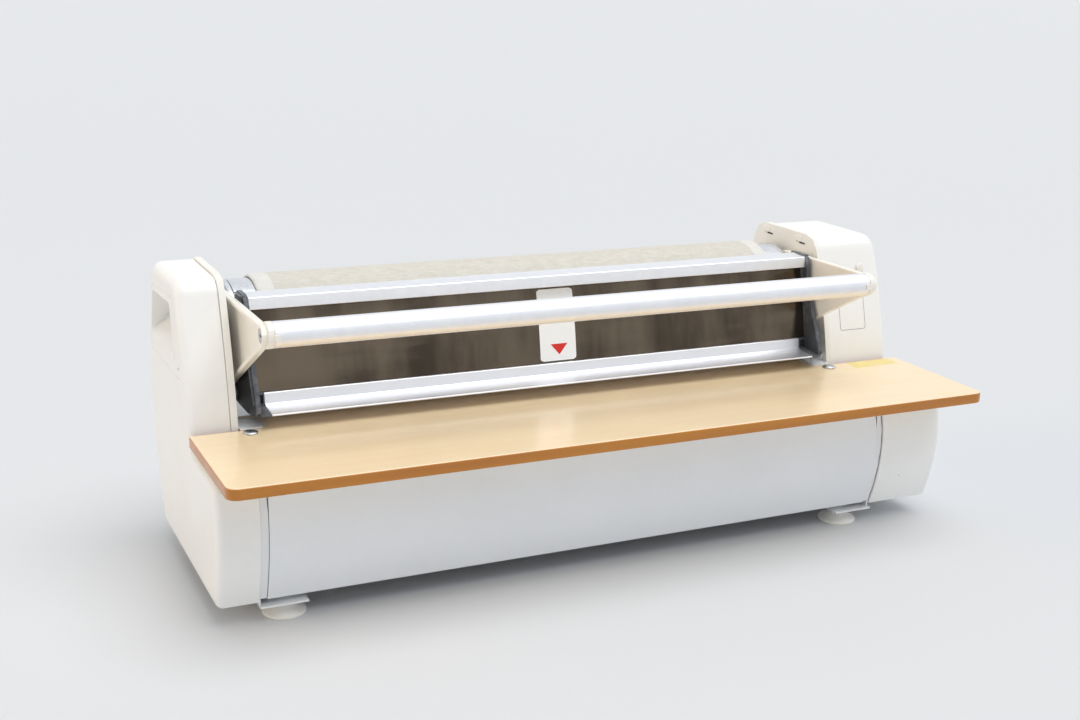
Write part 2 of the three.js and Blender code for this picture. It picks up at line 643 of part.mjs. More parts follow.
function roller() {
  const at = [rollerY, rollerZ, rollerFacets];
  const padInner = drumRadius + fitGap;
  const padOuter = padInner + padThickness;
  const clothInner = padOuter + fitGap;
  add('roller_drum', ring(drumRadius, drumRadius - drumWall, -drumHalf, drumHalf, ...at), brightSteel);
  for (const [name, side] of sides) add(`${name}_drum_disc`, endDisc(side), brightSteel);
  const leftEnd = frameX + frameSheet + 8;
  const rightEnd = gearX + gearWidth + 4;
  add('roller_shaft', rod(shaftRadius, -leftEnd, rightEnd, rollerY, rollerZ, 18), springSteel);
  add('roller_padding', ring(padOuter, padInner, -clothHalf + 4, clothHalf - 4, ...at), felt);
  add('roller_cloth', ring(clothRadius, clothInner, -clothHalf + edgingWidth, clothHalf - edgingWidth, ...at), cotton);
  for (const [name, side] of sides) {
    const x = mirrored(side);
    const [near, far] = [clothHalf - edgingWidth + fitGap, clothHalf];
    const profile = [[clothInner, near], [clothRadius, near], [clothRadius, far - 2], [clothRadius - 1, far],
      [padInner, far], [padInner, far - 3.7], [clothInner, far - 3.7], [clothInner, near]];
    add(`${name}_cloth_edging`, turnedX(profile.map(([r, d]) => [r, x(d)]), ...at), tape);
  }
  for (const [name, side] of sides) {
    const x = mirrored(side);
    const [back, flange] = [frameX + frameSheet + 2, frameX - fitGap];
    const [bore, out] = [shaftRadius + fitGap, bearingRadius];
    const profile = [[bore, back], [out, back], [out, flange], [out + 6, flange], [out + 6, flange - 5],
      [bore, flange - 5], [bore, back]];
    add(`${name}_roller_bearing`, turnedX(profile.map(([r, d]) => [r, x(d)]), rollerY, rollerZ, 20), black);
  }
}

// ---- gear drive ----

// Involute teeth at a 20 degree pressure angle, thinned a little at the pitch circle so that they run free.
function gearOutline(teeth, phase, stretches) {
  const pitch = gearModule * teeth / 2;
  const baseCircle = pitch * Math.cos(pressureAngle);
  const involute = (a) => Math.tan(a) - a;
  const halfTooth = (Math.PI * gearModule / 2 - backlash) / (2 * pitch);
  const [root, tip] = [pitch - gearModule * 1.25, pitch + gearModule * 0.9];
  // half the tooth's angle at even steps from its root to its tip
  const flank = Array.from({ length: stretches + 1 }, (_, i) => {
    const r = root + (tip - root) * i / stretches;
    const lean = Math.acos(Math.min(1, baseCircle / r));
    return [r, halfTooth + involute(pressureAngle) - involute(lean)];
  });
  const points = [];
  for (let tooth = 0; tooth < teeth; tooth += 1) {
    const middle = phase + tooth * 2 * Math.PI / teeth;
    const rising = flank.map(([r, a]) => [r, middle - a]);
    const falling = flank.map(([r, a]) => [r, middle + a]).reverse();
    for (const [r, a] of [...rising, ...falling]) points.push(new THREE.Vector2(r * Math.cos(a), r * Math.sin(a)));
  }
  return points;
}

function gearSolid(teeth, phase, y, z, x0, x1) {
  const stretches = teeth > 20 ? 1 : 2;
  const points = gearOutline(teeth, phase, stretches).map((p) => p.add(new THREE.Vector2(y, z)));
  return alongX(points, x0, x1);
}

function drive() {
  const line = pinionAngle * turn;
  const gearEnd = gearX + gearWidth;
  const bore = rod(shaftRadius + fitGap, gearX - 20, gearEnd + 5, rollerY, rollerZ, 18);
  const hub = rod(22, gearX - 6, gearEnd, rollerY, rollerZ, 14);
  const windows = [0, 1, 2, 3, 4].map((i) => {
    const a = i * 72 * turn;
    return rod(11, gearX - 5, gearEnd + 5, rollerY + 39 * Math.cos(a), rollerZ + 39 * Math.sin(a), 8);
  });
  const wheel = join(gearSolid(rollerTeeth, line, rollerY, rollerZ, gearX, gearEnd), hub);
  add('roller_gear', cut(wheel, bore, ...windows), castIron);
  const pinionPhase = line + Math.PI + Math.PI / pinionTeeth;
  const outputShaft = rod(6, gearX - 4, gearEnd + 6, pinionY, pinionZ, 12);
  add('drive_pinion', join(gearSolid(pinionTeeth, pinionPhase, pinionY, pinionZ, gearX + 1, gearEnd + 1), outputShaft),
    springSteel);
  const boxNear = gearEnd + 4;
  const boxFar = boxNear + gearboxDepth;
  const motorZ = pinionZ - motorDrop;
  const body = alongX(beltShape([[pinionY, motorZ, motorRadius + 4], [pinionY, pinionZ, 24]]), boxNear, boxFar, 2, 1);
  const bearing = rod(6.4, boxNear - 5, boxNear + 8, pinionY, pinionZ, 12);
  const posts = [[-34, -30], [34, -30], [0, -52 + motorDrop - 26]].map(([dy, dz]) =>
    rod(4, frameX + frameSheet + fitGap, boxNear + 4, pinionY + dy, motorZ + dz * 0.8, 10));
  add('gearbox', cut(join(body, ...posts), bearing), castIron);
  const motorNear = boxFar + fitGap;
  const motorFar = innerHalf + rightGableWidth - wall - 5;
  const can = turnedX([[0, motorNear], [motorRadius, motorNear], [motorRadius, motorFar - 6],
    [motorRadius - 5, motorFar], [0, motorFar]], pinionY, motorZ, 24);
  add('drive_motor', can, darkGrey);
}

// ---- heated shoe ----

const polar = (angle, radius) => new THREE.Vector2(
  rollerY + radius * Math.cos(angle * turn), rollerZ + radius * Math.sin(angle * turn));

function arcPoints(radius, from, to, count) {
  return Array.from({ length: count + 1 }, (_, i) => polar(from + (to - from) * i / count, radius));
}

// The extrusions' section corners, also used by the end plates.
const upperFrontTop = new THREE.Vector2(plateFront - 25.4, plateTop + 19.4);
const upperFrontLow = new THREE.Vector2(plateFront - 27.9, plateTop + 2.4);
const lowerFrontTop = new THREE.Vector2(plateFront - 44.4, plateFoot + 8.4);
const lowerCrease = new THREE.Vector2(plateFront - 47.4, plateFoot - 8.1);
const lowerLip = new THREE.Vector2(plateFront - 85.4, plateFoot - 11.1);

function upperProfile() {
  const section = [upperFrontLow, new THREE.Vector2(plateFront + 4.6, upperFrontLow.y),
    new THREE.Vector2(plateFront + 12.6, plateTop + 11.4), new THREE.Vector2(plateFront + 7.6, plateTop + 21.4),
    upperFrontTop];
  const half = endPlateInner - fitGap;
  return cut(alongX(section, -half, half), alongX(grown(section, -profileWall), -half - 5, half + 5));
}

function lowerSection() {
  const shape = new THREE.Shape();
  const under = lowerCrease.y - 11;
  shape.moveTo(lowerFrontTop.x, lowerFrontTop.y);
  shape.lineTo(lowerCrease.x, lowerCrease.y);
  shape.quadraticCurveTo(lowerCrease.x - 12, lowerCrease.y - 0.5, lowerLip.x, lowerLip.y);
  shape.lineTo(lowerLip.x - 0.5, lowerLip.y - 2.4);
  shape.quadraticCurveTo(lowerLip.x + 22, lowerLip.y - 4, lowerCrease.x + 6, under);
  shape.lineTo(lowerCrease.x + 38, under);
  shape.lineTo(lowerCrease.x + 44, lowerCrease.y + 6);
  shape.lineTo(lowerFrontTop.x + 11, lowerFrontTop.y);
  return traced(shape, 12);
}

function lowerProfile() {
  const [y, z] = [lowerCrease.x, lowerCrease.y];
  const chamber = [[6, 13.5], [3, -4], [4, -8], [34, -8], [40, 4], [13, 13.5]]
    .map(([dy, dz]) => new THREE.Vector2(y + dy, z + dz));
  return cut(alongX(lowerSection(), -profileHalf, profileHalf), alongX(chamber, -profileHalf - 5, profileHalf + 5));
}

function shoeEndPlate(side) {
  const x = mirrored(side);
  const shape = new THREE.Shape();
  const clear = plateRadius + 2;
  const [low, high] = [lowerCrease.y - 14.5, upperFrontTop.y];
  shape.moveTo(upperFrontTop.x + 2, high);
  shape.quadraticCurveTo(upperFrontTop.x - 9, high - 8, upperFrontTop.x - 9, high - 31);
  shape.quadraticCurveTo(upperFrontTop.x - 20, high - 72, lowerLip.x + 5, lowerLip.y + 14);
  shape.quadraticCurveTo(lowerLip.x, lowerLip.y - 1, lowerLip.x + 7, lowerLip.y - 3.5);
  shape.quadraticCurveTo(lowerCrease.x - 6, low + 2, lowerCrease.x + 16, low);
  shape.lineTo(pivotY, pivotZ - 15);
  shape.quadraticCurveTo(pivotY + 15, pivotZ - 15, pivotY + 15, pivotZ - 3);
  for (const p of arcPoints(clear, plateBottomAngle + 6, plateTopAngle - 4, 10)) shape.lineTo(p.x, p.y);
  shape.lineTo(upperFrontTop.x + 38, high + 3);
  shape.quadraticCurveTo(upperFrontTop.x + 6, high + 5, upperFrontTop.x + 2, high);
  const plate = alongX(traced(shape, 20), x(endPlateInner), x(endPlateOuter));
  // the block that goes on with the lower extrusion's section, with a square recess for its screw
  const [y, z] = [lowerCrease.x, lowerCrease.y];
  const lowerBlock = cut(alongX(lowerSection(), x(profileHalf + fitGap), x(endPlateInner + 1)),
    box(x(profileHalf + 2), x(endPlateInner - 1.5), y - 10, y + 8, z + 1, z + 14));
  const lowerScrew = rod(2.6, x(profileHalf - 8), x(profileHalf + 2), y + 20, z + 3, 8);
  const upperSpigot = box(x(endPlateInner - 12), x(endPlateInner + 1), upperFrontTop.x + 4, upperFrontTop.x + 28,
    high - 13.5, high - 3.5);
  // the thicker bracket at the top, ribbed across
  const bracket = cut(box(x(endPlateOuter - 1), x(endPlateOuter + 4.5), upperFrontTop.x + 4, upperFrontTop.x + 34,
    high - 18, high + 2), ...[0, 1, 2].map((i) => box(x(endPlateOuter + 2.5), x(endPlateOuter + 6),
    upperFrontTop.x, upperFrontTop.x + 40, high - 13.5 + 6 * i, high - 11.5 + 6 * i)));
  const rib = join(
    alongX(strip([[-4, -30], [-17, -72], [-34, -104], [-50, -138]].map(([dy, dz]) =>
      new THREE.Vector2(upperFrontTop.x + dy, high + dz)), 3), x(endPlateOuter - 1), x(endPlateOuter + ribProud)),
    rod(13, x(endPlateOuter - 1), x(endPlateOuter + 2), pivotY, pivotZ, 16));
  const bore = rod(pivotRadius + fitGap, x(endPlateInner - 5), x(endPlateOuter + 8), pivotY, pivotZ, 16);
  return cut(join(plate, lowerBlock, lowerScrew, upperSpigot, bracket, rib), bore);
}

function shoe() {
  const half = endPlateInner - fitGap;
  const bend = half - 34; // where the heating element turns back
  const sheet = (inner, thickness, from, to, count) => [...arcPoints(inner, from, to, count),
    ...arcPoints(inner + thickness, from, to, count).reverse()];
  const back = plateRadius + plateThickness;
  const lugs = heaterAngles.map((angle) => alongX([polar(angle - 5, back - 1), polar(angle - 5, back + 4),
    polar(angle - 3.2, back + 4), polar(angle - 3.2, back - 1)], -half + 8, bend - 8));
  const plate = alongX(sheet(plateRadius, plateThickness, plateTopAngle, plateBottomAngle, 18), -half, half);
  add('heated_plate', join(plate, ...lugs), satinAluminium);
  const coverTop = new THREE.Vector2(upperFrontLow.x + 15, upperFrontLow.y - 0.5);
  const coverFoot = new THREE.Vector2(lowerFrontTop.x + 5, lowerFrontTop.y + 0.5);
  const bowed = Array.from({ length: 9 }, (_, i) => coverTop.clone().lerp(coverFoot, i / 8)
    .add(new THREE.Vector2(-coverBulge * Math.sin(Math.PI * i / 8), 0)));
  add('shoe_cover', alongX(strip(bowed, shoeCoverSheet), -half, half), brownSteel);
  add('upper_profile', upperProfile(), satinAluminium);
  add('lower_profile', lowerProfile(), satinAluminium);
  for (const [name, side] of sides) add(`${name}_shoe_end`, shoeEndPlate(side), darkGrey);

  // one hairpin element clipped along the back of the plate; its bend stands off the plate a little
  const point = (x, angle, radius) => new THREE.Vector3(x, polar(angle, radius).x, polar(angle, radius).y);
  const [first, last] = heaterAngles;
  const off = heaterSeat + 6;
  const hook = new THREE.CubicBezierCurve3(point(bend, first, heaterSeat), point(bend + 30, first, off),
    point(bend + 30, last, off), point(bend, last, heaterSeat));
  const legs = heaterAngles.map((angle) =>
    rod(heaterRadius, -half + 6, bend + 2, polar(angle, heaterSeat).x, polar(angle, heaterSeat).y, 6));
  add('heating_element', join(tube(hook, heaterRadius, 7, 6), ...legs), castIron);
}

function tube(path, radius, steps, facets) {
  const around = Array.from({ length: facets }, (_, i) => new THREE.Vector2(
    radius * Math.cos(2 * Math.PI * i / facets), radius * Math.sin(2 * Math.PI * i / facets)));
  return solid(new THREE.ExtrudeGeometry(new THREE.Shape(around), { steps, extrudePath: path }));
}

// ---- pressing bar and its arms ----

const armCircles = (less) => [[barY, barZ, armTipRadius], armHeel, armCrown].map(([y, z, r]) => [y, z, r - less]);

function arm(side) {
  const x = mirrored(side);
  const plate = alongX(beltShape(armCircles(0)), x(armInner), x(armOuter), 1.2, 1);
  const foot = alongX(beltShape([[pivotY, pivotZ, 13], [pivotY + 8, pivotZ + 50, 14]]), x(armInner), x(armOuter - 0.6));
  const pocket = alongX(beltShape(armCircles(armRim)), x(armOuter - armPocket), x(armOuter + 5));
  const tipBoss = rod(armTipRadius - 0.5, x(armInner + 1), x(armOuter - 0.6), barY, barZ, 16);
  const collar = rod((barRadius + collarLip) / Math.cos(Math.PI / collarFacets), x(barHalf + fitGap), x(armInner + 3),
    barY, barZ, collarFacets);
  const pivotBoss = rod(13, x(armInner + 1), x(armOuter - 0.6), pivotY, pivotZ, 16);
  const ridge = cut(rod(48, x(armOuter - armPocket - 1), x(armOuter - 2.5), pivotY, pivotZ, 20),
    rod(44, x(armOuter - armPocket - 3), x(armOuter), pivotY, pivotZ, 20))
    .intersect(alongX(beltShape(armCircles(armRim - 1)), x(armInner), x(armOuter)));
  const web = cut(join(plate, foot), pocket);
  const spigot = rod(barRadius - barWall - fitGap, x(barHalf - 12), x(barHalf + 1), barY, barZ, 20);
  const tongue = box(x(barHalf - 8), x(barHalf + 1), barY - barRadius - 2.2, barY - barRadius - fitGap,
    barZ - 4, barZ + 4);
  const screwWell = rod(armWell, x(armOuter - 4), x(armOuter + 5), barY, barZ, 14);
  const screwBore = rod(2.9, x(barHalf - 20), x(armOuter + 5), barY, barZ, 8);
  const pivotBore = rod(pivotRadius + fitGap, x(armInner - 5), x(armOuter + 5), pivotY, pivotZ, 16);
  // the boss that bolts the arm to the shoe's end, ahead of the roller
  const bolt = rod(8, x(endPlateOuter + ribProud + fitGap), x(armInner + 1), ...armBolt, 12);
  return cut(join(web, tipBoss, collar, pivotBoss, ridge, spigot, tongue, bolt), screwWell, screwBore, pivotBore);
}

function pressingBar() {
  add('pressing_bar', ring(barRadius, barRadius - barWall, -barHalf, barHalf, barY, barZ, 24), satinAluminium);
  for (const [name, side] of sides) {
    const x = mirrored(side);
    add(`${name}_bar_arm`, arm(side), cream);
    const [seat, tip] = [armOuter - 4 + fitGap, barHalf - 10];
    const screw = [[0, tip], [2.4, tip], [2.4, seat], [8.5, seat], [8.5, seat + 1.6], [6.5, seat + 3], [0, seat + 3]];
    const slot = box(x(seat + 1.8), x(seat + 6), barY - 5.4, barY + 5.4, barZ - 0.9, barZ + 0.9);
    add(`${name}_arm_screw`, cut(turnedX(screw.map(([r, d]) => [r, x(d)]), barY, barZ, 12), slot), zinc);
    add(`${name}_pivot_bush`, ring(9, pivotRadius + fitGap, x(endPlateOuter + 2 + fitGap), x(armInner - fitGap),
      pivotY, pivotZ, 16), cream);
  }
}

// ---- pivot levers and pressure springs ----

function springPath(x, y, low, high) {
  const points = [];
  const straight = 6;
  const pitch = (high - low - 2 * straight - 4) / springTurns;
  points.push(new THREE.Vector3(x, y, low), new THREE.Vector3(x, y, low + straight - 1.5));
  for (let i = 0; i <= springTurns * springSteps; i += 1) {
    const a = i / springSteps * 2 * Math.PI;
    const start = low + straight + 2;
    points.push(new THREE.Vector3(x + springRadius * Math.cos(a), y + springRadius * Math.sin(a), start + pitch * i / springSteps));
  }
  points.push(new THREE.Vector3(x, y, high - straight + 1.5), new THREE.Vector3(x, y, high));
  return new THREE.CatmullRomCurve3(points, false, 'centripetal');
}

function linkage() {
  const hookY = pivotY - leverReach;
  for (const [name, side] of sides) {
    const x = mirrored(side);
    const [near, far] = [leverX, leverX + leverThickness];
    const shaft = rod(pivotRadius, x(endPlateInner + fitGap), x(far), pivotY, pivotZ, 16);
    const link = alongX(beltShape([[hookY, pivotZ, 7], [pivotY, pivotZ, 11]]), x(near), x(far));
    const pin = rod(2.5, x(far - 1), x(far + 8), hookY, pivotZ, 8);
    add(`${name}_pivot_lever`, join(shaft, link, pin), springSteel);
    const low = pivotZ + 2.5 + fitGap;
    const path = springPath(x(far + 4), hookY, low, springTop);
    add(`${name}_pressure_spring`, tube(path, springWire, springTurns * springSteps + 6, 4), springSteel);
  }
  // the switch that the idle-side lever presses when the bar goes down
  const top = pivotZ - 7 - 8;
  const back = -(frameX + frameSheet + fitGap);
  const body = box(back, back - 12, hookY - 18, hookY + 12, top - 17, top);
  const plunger = box(back - 4.5, back - 7.5, hookY - 2, hookY + 2, top - 1, top + 2);
  add('stop_switch', join(body, plunger), black);
}

// ---- controls and mains inlet ----

function controls() {
  const face = innerHalf + rightGableWidth;
  const skirt = turnedX([[0, face + fitGap], [dialRadius, face + fitGap], [dialRadius, face + 3],
    [dialRadius - 3, face + 4.5], [0, face + 4.5]], dialY, dialZ, 20);
  const lobes = Array.from({ length: 24 }, (_, i) => {
    const a = i / 24 * 2 * Math.PI;
    const reach = dialRadius - 6 + 0.9 * Math.cos(6 * a);
    return new THREE.Vector2(dialY + reach * Math.cos(a), dialZ + reach * Math.sin(a));
  });
  const grip = alongX(lobes, face + 4, face + dialDepth);
  const pointer = box(face + dialDepth - 1.2, face + dialDepth + 2, dialY - 0.9, dialY + 0.9, dialZ + 5, dialZ + 12);
  const spindle = rod(4, face - 16, face + 1, dialY, dialZ, 12);
  add('thermostat_dial', cut(join(skirt, grip, spindle), pointer), black);
  const block = box(face - wall - 26, face - wall - fitGap, dialY - 17, dialY + 17, dialZ - 17, dialZ + 17);
  add('thermostat', cut(block, rod(4.4, face - 20, face + 1, dialY, dialZ, 12)), castIron);

  const flange = cut(box(face + fitGap, face + 2.2, rockerY - 10, rockerY + 10, rockerZ - 17.5, rockerZ + 17.5),
    box(face - 1, face + 4, rockerY - 6.2, rockerY + 6.2, rockerZ - 13.8, rockerZ + 13.8));
  const can = cut(box(face - 24, face + 1, rockerY - 7.2, rockerY + 7.2, rockerZ - 14.7, rockerZ + 14.7),
    box(face - 14, face + 4, rockerY - 6.2, rockerY + 6.2, rockerZ - 13.8, rockerZ + 13.8));
  add('switch_housing', join(flange, can), black);
  const key = new THREE.Shape();
  key.moveTo(-12.6, 2.6);
  key.lineTo(0, 1.2);
  key.lineTo(12.6, 2.6);
  key.lineTo(11.6, -5);
  key.quadraticCurveTo(0, -9, -11.6, -5);
  const geometry = new THREE.ExtrudeGeometry(key, { depth: 11.6, bevelEnabled: false, curveSegments: 5 });
  geometry.translate(0, 0, -5.8);
  geometry.applyMatrix4(new THREE.Matrix4().makeBasis(
    new THREE.Vector3(0, 0, 1), new THREE.Vector3(1, 0, 0), new THREE.Vector3(0, 1, 0)));
  geometry.rotateY(rockerTilt * turn);
  geometry.translate(face + 1.4, rockerY, rockerZ);
  add('power_rocker', solid(geometry), darkGrey);

  const dome = [[0, -9], [lampStem, -9], [lampStem, 2 * fitGap], [lampRadius, 2 * fitGap],
    [lampRadius, 1.6], [lampRadius - 2, 4], [0, 5]];
  add('pilot_lamp', onOutline(dome, lampX, lampZ, false, 14), amber);

  const seat = fitGap - coverInset;
  const gland = [[4.6, -18], [glandRadius, -18], [glandRadius, seat], [13, seat], [13, seat + 3.5],
    [9.5, seat + 5.5], [7, 16], [4.6, 16], [4.6, -18]];
  add('mains_gland', onOutline(gland, glandX, glandZ, true, 12), black);
}

gables();
feedingTable();
tableBolts();
tableClips();
base();
feet();
roller();
drive();
shoe();
pressingBar();
linkage();
controls();

machine.position.set(-(tableLeft + tableRight) / 2, (tableReach - rearReach) / 2, 0);
const ironer = new THREE.Group();
ironer.add(machine);

export default ironer;
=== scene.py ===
import json
import math

import bmesh
import bpy
from mathutils import Matrix, Vector
from mathutils.geometry import tessellate_polygon


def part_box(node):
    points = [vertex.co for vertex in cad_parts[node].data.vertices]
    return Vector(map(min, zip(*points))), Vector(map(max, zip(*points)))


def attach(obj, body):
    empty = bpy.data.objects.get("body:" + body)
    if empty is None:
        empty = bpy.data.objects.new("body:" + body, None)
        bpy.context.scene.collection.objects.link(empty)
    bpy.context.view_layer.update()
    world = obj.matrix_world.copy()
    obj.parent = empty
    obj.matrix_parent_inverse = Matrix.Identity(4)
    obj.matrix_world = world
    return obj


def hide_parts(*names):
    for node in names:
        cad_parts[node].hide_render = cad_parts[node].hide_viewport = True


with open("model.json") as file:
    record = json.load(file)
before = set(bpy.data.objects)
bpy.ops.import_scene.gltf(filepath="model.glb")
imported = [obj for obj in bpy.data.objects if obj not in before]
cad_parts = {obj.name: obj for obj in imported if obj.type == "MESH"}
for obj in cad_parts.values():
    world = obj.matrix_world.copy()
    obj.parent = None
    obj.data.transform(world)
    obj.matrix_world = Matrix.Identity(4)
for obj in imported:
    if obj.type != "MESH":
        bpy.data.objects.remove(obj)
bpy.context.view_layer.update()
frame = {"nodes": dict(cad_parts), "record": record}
nodes = frame["nodes"]
scene = bpy.context.scene
scene.view_settings.view_transform = "Standard"
print("frame loaded,", len(nodes), "parts")

# Pieces are drawn in millimetres: x along the roller from its middle, y back from the gables' front
# faces, z up from the floor. The roller's axis ties that drawing to the frame.
mm = 0.001
rollerY = 152
rollerZ = 328
sides = (("left", -1), ("right", 1))  # and the way each lies along x
drumLow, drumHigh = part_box("roller_drum")
drawingOrigin = (drumLow + drumHigh) / 2 - Vector((0, rollerY, rollerZ)) * mm


def spot(x, y, z):
    return drawingOrigin + Vector((x, y, z)) * mm


# camera and light

cameraView = {
    "place": (-0.9578, -1.8710, 0.8596),
    "yaw": 25.683,
    "pitch": 15.584,
    "roll": 1.6154,
    "focus": 1435.5,  # in pixels of a frame 1080 wide
    "frameWidth": 1080,
}

studio = {
    "floorTone": "DADCDF",
    "floorCloud": "DADDE0",
    "skyTone": "F1F4F7",
    "skyLight": 0.58,
    "floorSize": 500,
    "wideLights": [
        # name, comes from, power, width in degrees, tone
        ("softKey", (0.24, -0.24, 1.0), 1.7, 55, "FFFFFF"),
        ("sideGlow", (-1.0, 0.22, 0.26), 0.8, 45, "FFDDAA"),
    ],
    "boxes": [
        # name, place, aimed at, width, depth, watts, tone
        ("overheadBox", (-0.3, -0.2, 2.6), (0.0, 0.0, 0.2), 2.6, 2.0, 3, "FFFFFF"),
    ],
}


def tone(code):
    parts = [int(code[i:i + 2], 16) / 255 for i in (0, 2, 4)]
    return tuple(c / 12.92 if c <= 0.04045 else ((c + 0.055) / 1.055) ** 2.4 for c in parts) + (1,)


def makeCamera(view):
    yaw, pitch, roll = (math.radians(view[key]) for key in ("yaw", "pitch", "roll"))
    ahead = Vector((math.sin(yaw) * math.cos(pitch), math.cos(yaw) * math.cos(pitch), -math.sin(pitch)))
    level = Vector((math.cos(yaw), -math.sin(yaw), 0))
    above = level.cross(ahead)
    right = level * math.cos(roll) + above * math.sin(roll)
    up = above * math.cos(roll) - level * math.sin(roll)
    lens = bpy.data.cameras.new("studioCamera")
    lens.sensor_width = 36
    lens.lens = view["focus"] / view["frameWidth"] * lens.sensor_width
    camera = bpy.data.objects.new("studioCamera", lens)
    scene.collection.objects.link(camera)
    turned = Matrix((right, up, -ahead)).transposed().to_4x4()
    camera.matrix_world = Matrix.Translation(view["place"]) @ turned
    scene.camera = camera


def hang(name, kind, power, cast):
    lamp = bpy.data.lights.new(name, kind)
    lamp.energy = power
    lamp.color = tone(cast)[:3]
    light = bpy.data.objects.new(name, lamp)
    scene.collection.objects.link(light)
    return lamp, light


def makeLights(settings):
    for name, comesFrom, power, spread, cast in settings["wideLights"]:
        lamp, light = hang(name, "SUN", power, cast)
        lamp.angle = math.radians(spread)
        light.rotation_euler = Vector(comesFrom).to_track_quat("Z", "Y").to_euler()
    for name, place, aim, width, depth, watts, cast in settings["boxes"]:
        lamp, light = hang(name, "AREA", watts, cast)
        lamp.shape = "RECTANGLE"
        lamp.size = width
        lamp.size_y = depth
        light.location = place
        light.rotation_euler = (Vector(aim) - Vector(place)).to_track_quat("-Z", "Y").to_euler()


# node helpers

def feed(tree, item, inputs):
    for key, value in inputs.items():
        if isinstance(value, bpy.types.NodeSocket):
            tree.links.new(value, item.inputs[key])
        else:
            item.inputs[key].default_value = value


def put(tree, kind, inputs=None, **settings):
    item = tree.nodes.new(kind)
    for key, value in settings.items():
        setattr(item, key, value)
    feed(tree, item, inputs or {})
    return item


def calc(tree, operation, first, second=0.0, clamp=False):
    return put(tree, "ShaderNodeMath", {0: first, 1: second}, operation=operation, use_clamp=clamp).outputs[0]


def ramp(tree, value, fromLow, fromHigh, toLow=0.0, toHigh=1.0):
    inputs = {"Value": value, "From Min": fromLow, "From Max": fromHigh, "To Min": toLow, "To Max": toHigh}
    return put(tree, "ShaderNodeMapRange", inputs, interpolation_type="SMOOTHSTEP").outputs[0]


def pick(tree, share, first, second):
    return put(tree, "ShaderNodeMix", {"Factor": share, 2: first, 3: second}, data_type="FLOAT").outputs[0]


def blendTones(tree, share, first, second):
    return put(tree, "ShaderNodeMix", {"Factor": share, 6: first, 7: second}, data_type="RGBA").outputs[2]


def combine(tree, x=0.0, y=0.0, z=0.0):
    return put(tree, "ShaderNodeCombineXYZ", {0: x, 1: y, 2: z}).outputs[0]


def split(tree, vector):
    return put(tree, "ShaderNodeSeparateXYZ", {0: vector}).outputs


def upwardShare(tree):
    return split(tree, put(tree, "ShaderNodeNewGeometry").outputs["Normal"])[2]


def stretched(tree, vector, stretch):
    return put(tree, "ShaderNodeMapping", {"Vector": vector, "Scale": stretch}).outputs[0]


def objectPoint(tree, stretch=(1, 1, 1)):
    return stretched(tree, put(tree, "ShaderNodeTexCoord").outputs["Object"], stretch)


def mottle(tree, where, scale, detail=3.0, rough=0.55):
    inputs = {"Vector": where, "Scale": scale, "Detail": detail, "Roughness": rough}
    return put(tree, "ShaderNodeTexNoise", inputs).outputs[0]


def cellDistance(tree, where, scale):
    inputs = {"Vector": where, "Scale": scale}
    return put(tree, "ShaderNodeTexVoronoi", inputs, feature="F1").outputs["Distance"]


def newGroup(name, label, kind, value, outputs):
    group = bpy.data.node_groups.new(name, "ShaderNodeTree")
    group.interface.new_socket(name=label, in_out="INPUT", socket_type=kind).default_value = value
    for out in outputs:
        group.interface.new_socket(name=out, in_out="OUTPUT", socket_type="NodeSocketFloat")
    return group, group.nodes.new("NodeGroupInput").outputs, group.nodes.new("NodeGroupOutput").inputs


def closeGroup(group, out, results):
    for label, value in results.items():
        group.links.new(value, out[label])
    return group


def useGroup(tree, group, inputs=None):
    item = tree.nodes.new("ShaderNodeGroup")
    item.node_tree = group
    feed(tree, item, inputs or {})
    return item.outputs


# shared shader groups: grain, worn edges, settled dust, brushing, handling marks, plain weave

def makeGrain():
    group, given, out = newGroup("mouldedGrain", "Scale", "NodeSocketFloat", 1500, ["Height", "Tone"])
    where = objectPoint(group)
    fine = mottle(group, where, given["Scale"], 2.0)
    broad = mottle(group, where, 7.0, 3.0)
    return closeGroup(group, out, {"Height": fine, "Tone": ramp(group, broad, 0.3, 0.7)})


def makeEdgeWear():
    group, given, out = newGroup("edgeWear", "Reach", "NodeSocketFloat", 0.06, ["Mask"])
    bent = put(group, "ShaderNodeNewGeometry").outputs["Pointiness"]
    raised = calc(group, "DIVIDE", calc(group, "SUBTRACT", bent, 0.505), given["Reach"], True)
    broken = ramp(group, mottle(group, objectPoint(group), 60.0, 6.0, 0.7), 0.42, 0.62)
    return closeGroup(group, out, {"Mask": calc(group, "MULTIPLY", raised, broken, True)})


def makeDust():
    group, given, out = newGroup("settledDust", "Amount", "NodeSocketFloat", 0.3, ["Mask"])
    upward = ramp(group, upwardShare(group), 0.55, 0.98)
    patches = ramp(group, mottle(group, objectPoint(group), 24.0, 8.0, 0.7), 0.38, 0.78)
    dusty = calc(group, "MULTIPLY", upward, patches)
    return closeGroup(group, out, {"Mask": calc(group, "MULTIPLY", dusty, given["Amount"], True)})


def makeBrushing():
    group, given, out = newGroup("brushedStreaks", "Stretch", "NodeSocketVector", (4, 900, 900), ["Streaks", "Cloud"])
    where = put(group, "ShaderNodeTexCoord").outputs["Object"]
    pulled = put(group, "ShaderNodeVectorMath", {0: where, 1: given["Stretch"]}, operation="MULTIPLY").outputs[0]
    cloud = ramp(group, mottle(group, where, 9.0, 4.0), 0.3, 0.7)
    return closeGroup(group, out, {"Streaks": mottle(group, pulled, 1.0, 4.0, 0.6), "Cloud": cloud})


